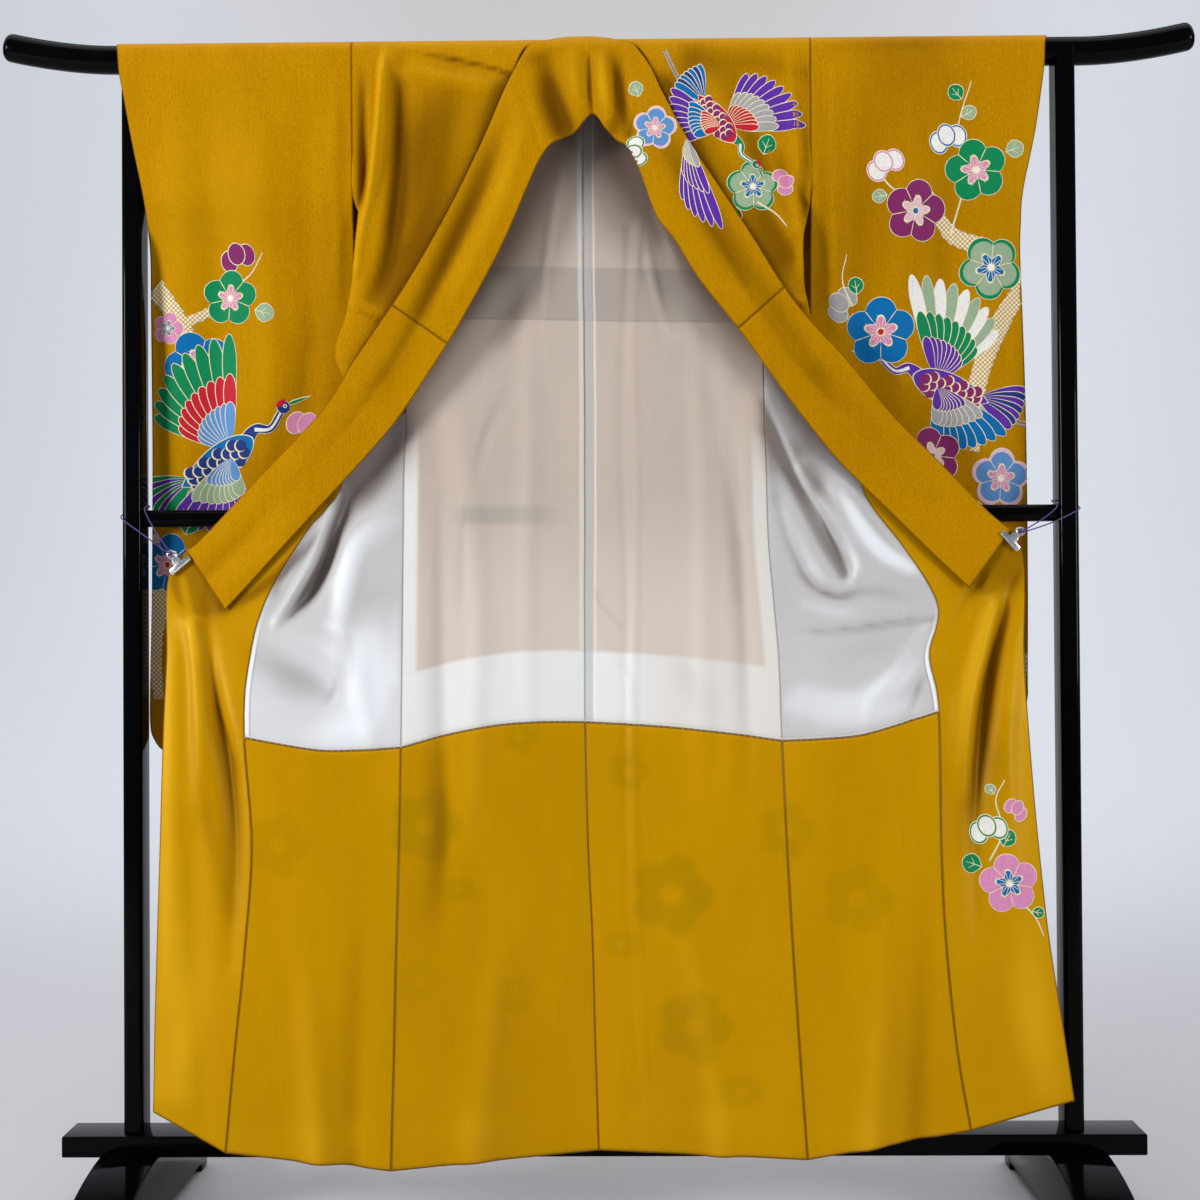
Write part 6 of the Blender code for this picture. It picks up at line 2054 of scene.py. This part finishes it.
clip = {
    "left": {"jaws": (-0.588, 0.932), "out": 0.0455, "tilt": 40.0},
    "right": {"jaws": (0.574, 0.959), "out": 0.0455, "tilt": -48.0},
    "jawLength": 0.034, "jawDepth": 0.0075, "plate": 0.0012, "frontLift": 0.0078, "backLift": -0.0034,
    "spineWidth": 0.0126, "spineReach": 0.0100, "stemWidth": 0.0054, "eyeletReach": 0.019,
    "eyeletRadius": 0.0048, "eyeletWire": 0.0015, "rollRadius": 0.0016, "rollInset": 0.0004,
    # The plate's outline above the jaws, then the spring and its pin.
    "bow": 0.0006, "cut": 0.001, "neckFoot": 0.0085, "neckTop": 0.0125, "stemTop": 0.0155,
    "pinRadius": 0.0024, "coilRadius": 0.0034, "coilWire": 0.0005, "coilTurns": 5, "coilInset": 0.0014,
}


def clipFrame(side):
    tilt = math.radians(clip[side]["tilt"])
    jaw = np.array([math.cos(tilt), 0, math.sin(tilt)])
    away = np.array([-math.sin(tilt), 0, math.cos(tilt)])
    x, z = clip[side]["jaws"]
    return np.array([x, -clip[side]["out"], z]), jaw, away, np.array([0, -1, 0])


def makeClip(side):
    origin, jaw, away, out = clipFrame(side)
    half, deep, stem = clip["jawLength"] / 2, clip["jawDepth"] / 2, clip["stemWidth"] / 2
    spine, cut = clip["spineWidth"] / 2, clip["cut"]
    right = [(half + clip["bow"], 0), (half - cut, deep), (spine, deep), (spine, clip["neckFoot"]),
             (stem + cut, clip["neckTop"]), (stem, clip["stemTop"])]
    outline = [(-half, -deep), (half, -deep), *right, *[(-u, v) for u, v in reversed(right)]]

    def placed(lift):
        return lambda u, v, w: origin + jaw * u + away * v + out * (lift + w)

    plate = clip["plate"]
    parts = []
    for lift in (clip["frontLift"], clip["backLift"]):
        flat = prism("plate", outline, placed(lift - plate / 2), plate, "brushed white metal")
        parts.append(softenEdges(flat, 0.0003, 2))
        inward = -1 if lift > 0 else 1
        turns = np.radians(np.linspace(0, 360, 41)[:-1])
        ring = [origin + away * (clip["eyeletReach"] + clip["eyeletRadius"] * math.sin(t))
                + jaw * clip["eyeletRadius"] * math.cos(t) + out * lift for t in turns]
        parts.append(sweptRound("ring", ring, clip["eyeletWire"], 14, "brushed white metal", closed=True))
        roll = [origin + jaw * u - away * (deep - clip["rollInset"]) + out * (lift - inward * clip["bow"])
                for u in np.linspace(-half, half, 9)]
        parts.append(sweptRound("roll", roll, clip["rollRadius"], 16, "brushed white metal"))
    low, high, inset = clip["backLift"], clip["frontLift"], clip["coilInset"]
    middle = origin + away * (clip["spineReach"] + cut)
    pin = [middle + out * w for w in np.linspace(low, high, 5)]
    parts.append(sweptRound("pin", pin, clip["pinRadius"], 16, "brushed white metal"))
    coil = []
    for share in np.linspace(0, 1, 12 * clip["coilTurns"] + 1):
        turn = 2 * math.pi * clip["coilTurns"] * share
        coil.append(middle + clip["coilRadius"] * (away * math.sin(turn) + jaw * math.cos(turn))
                    + out * (low + inset + (high - low - 2 * inset) * share))
    parts.append(sweptRound("spring", coil, clip["coilWire"], 8, "brushed white metal"))
    first = parts[0]
    combine(first, parts[1:], "UNION")
    first.name = first.data.name = f"clip_{side}"
    pieces[f"clip_{side}"] = first


tie = {
    "radius": 0.0009, "knotRadius": 0.0024, "knotSeat": 0.0028,
    # x, out, z from the knot on the eyelet round the post and back to the knot
    "route": {
        "left": [
            (-0.6015, 0.0585, 0.9475), (-0.640, 0.045, 0.974), (-0.672, 0.029, 0.995),
            (-0.6815, 0.016, 1.003), (-0.6815, -0.012, 1.009), (-0.674, -0.0245, 1.013),
            (-0.656, -0.0250, 1.017), (-0.6485, -0.012, 1.0195), (-0.6475, 0.006, 1.0185),
            (-0.645, 0.024, 1.010), (-0.626, 0.043, 0.982), (-0.5995, 0.0585, 0.9485),
        ],
        "right": [
            (0.590, 0.0595, 0.9720), (0.622, 0.045, 0.990), (0.6455, 0.0265, 1.007),
            (0.6475, 0.006, 1.0170), (0.6485, -0.012, 1.0185), (0.656, -0.0250, 1.017),
            (0.674, -0.0245, 1.014), (0.6815, -0.012, 1.011), (0.6815, 0.014, 1.007),
            (0.672, 0.029, 1.001), (0.636, 0.046, 0.985), (0.5905, 0.0595, 0.9700),
        ],
    },
}


def makeTie(side):
    origin, jaw, away, out = clipFrame(side)
    route = world(tie["route"][side])
    axis = through(route, np.linspace(0, len(route) - 1, 8 * (len(route) - 1) + 1))
    cord = sweptRound(f"tie_{side}", axis, tie["radius"], 12, "plied purple cord")
    centre = origin + away * clip["eyeletReach"] + out * (clip["frontLift"] + tie["knotSeat"])
    loops = []
    for t in np.linspace(0, 2 * math.pi, 96, endpoint=False):
        swell = 1 + 0.42 * math.cos(3 * t)
        loops.append(centre + tie["knotRadius"] * (
            jaw * (math.sin(t) + 0.9 * math.sin(2 * t)) * 0.62
            + away * (math.cos(t) - 0.9 * math.cos(2 * t)) * 0.62
            - out * math.sin(3 * t) * 0.42 * swell))
    knot = sweptRound(f"tie_knot_{side}", loops, tie["radius"], 12, "plied purple cord", closed=True)
    length = float(np.linalg.norm(np.diff(axis, axis=0), axis=1).sum())
    pieces[f"tie_{side}"] = cord
    pieces[f"tie_knot_{side}"] = knot
    return axis, length


# Each piece's name, and each sheet's cut

sheets = {
    # Flat width and length, area, and what each sheet rests on.
    "body": (0.300, 3.16, 0.80, "bar"),
    "okumi": (0.140, 1.17, 0.115, "body"), "okumi_facing": (0.140, 1.17, 0.115, "okumi"),
    "front_facing": (0.225, 0.585, 0.12, "body"), "front_lining": (0.200, 0.52, 0.09, "body"),
    "back_facing": (0.285, 0.585, 0.16, "body"), "back_lining": (0.330, 0.98, 0.26, "body"),
    "sleeve": (0.330, 1.98, 0.60, "bar"),
    "collar": (0.112, 0.50, 0.056, "body"), "over_collar": (0.112, 0.86, 0.09632, "bar"),
}


def ownName(node):
    words = node.split("_")
    name = words[0] + "".join(word[0].upper() + word[1:] for word in words[1:])
    return {"bar": "hangingBar", "rail": "lowerRail", "beam": "crossBeam"}.get(name, name)


def declareAll():
    for name, piece in pieces.items():
        piece.name = piece.data.name = ownName(name)
        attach(piece, "root")
        if name in frame["nodes"]:
            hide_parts(name)
    for form, (width, length, area, under) in sheets.items():
        for ending in ("",) if form in pieces else ("_left", "_right"):
            resting = ownName("bar" if under == "bar" else under + ending)
            pieces[form + ending]


makeCamera()
makeStudio()
makeMaterials()
print("materials ready")
makeStand()
print("stand ready")
makeBody()
makeCollar()
for side in sides:
    makeSleeve(side)
print("cloth ready")
for side in sides:
    makeClip(side)
    makeTie(side)
print("clips and ties ready")
makeDyes()
makePattern()
print("pattern ready")
declareAll()
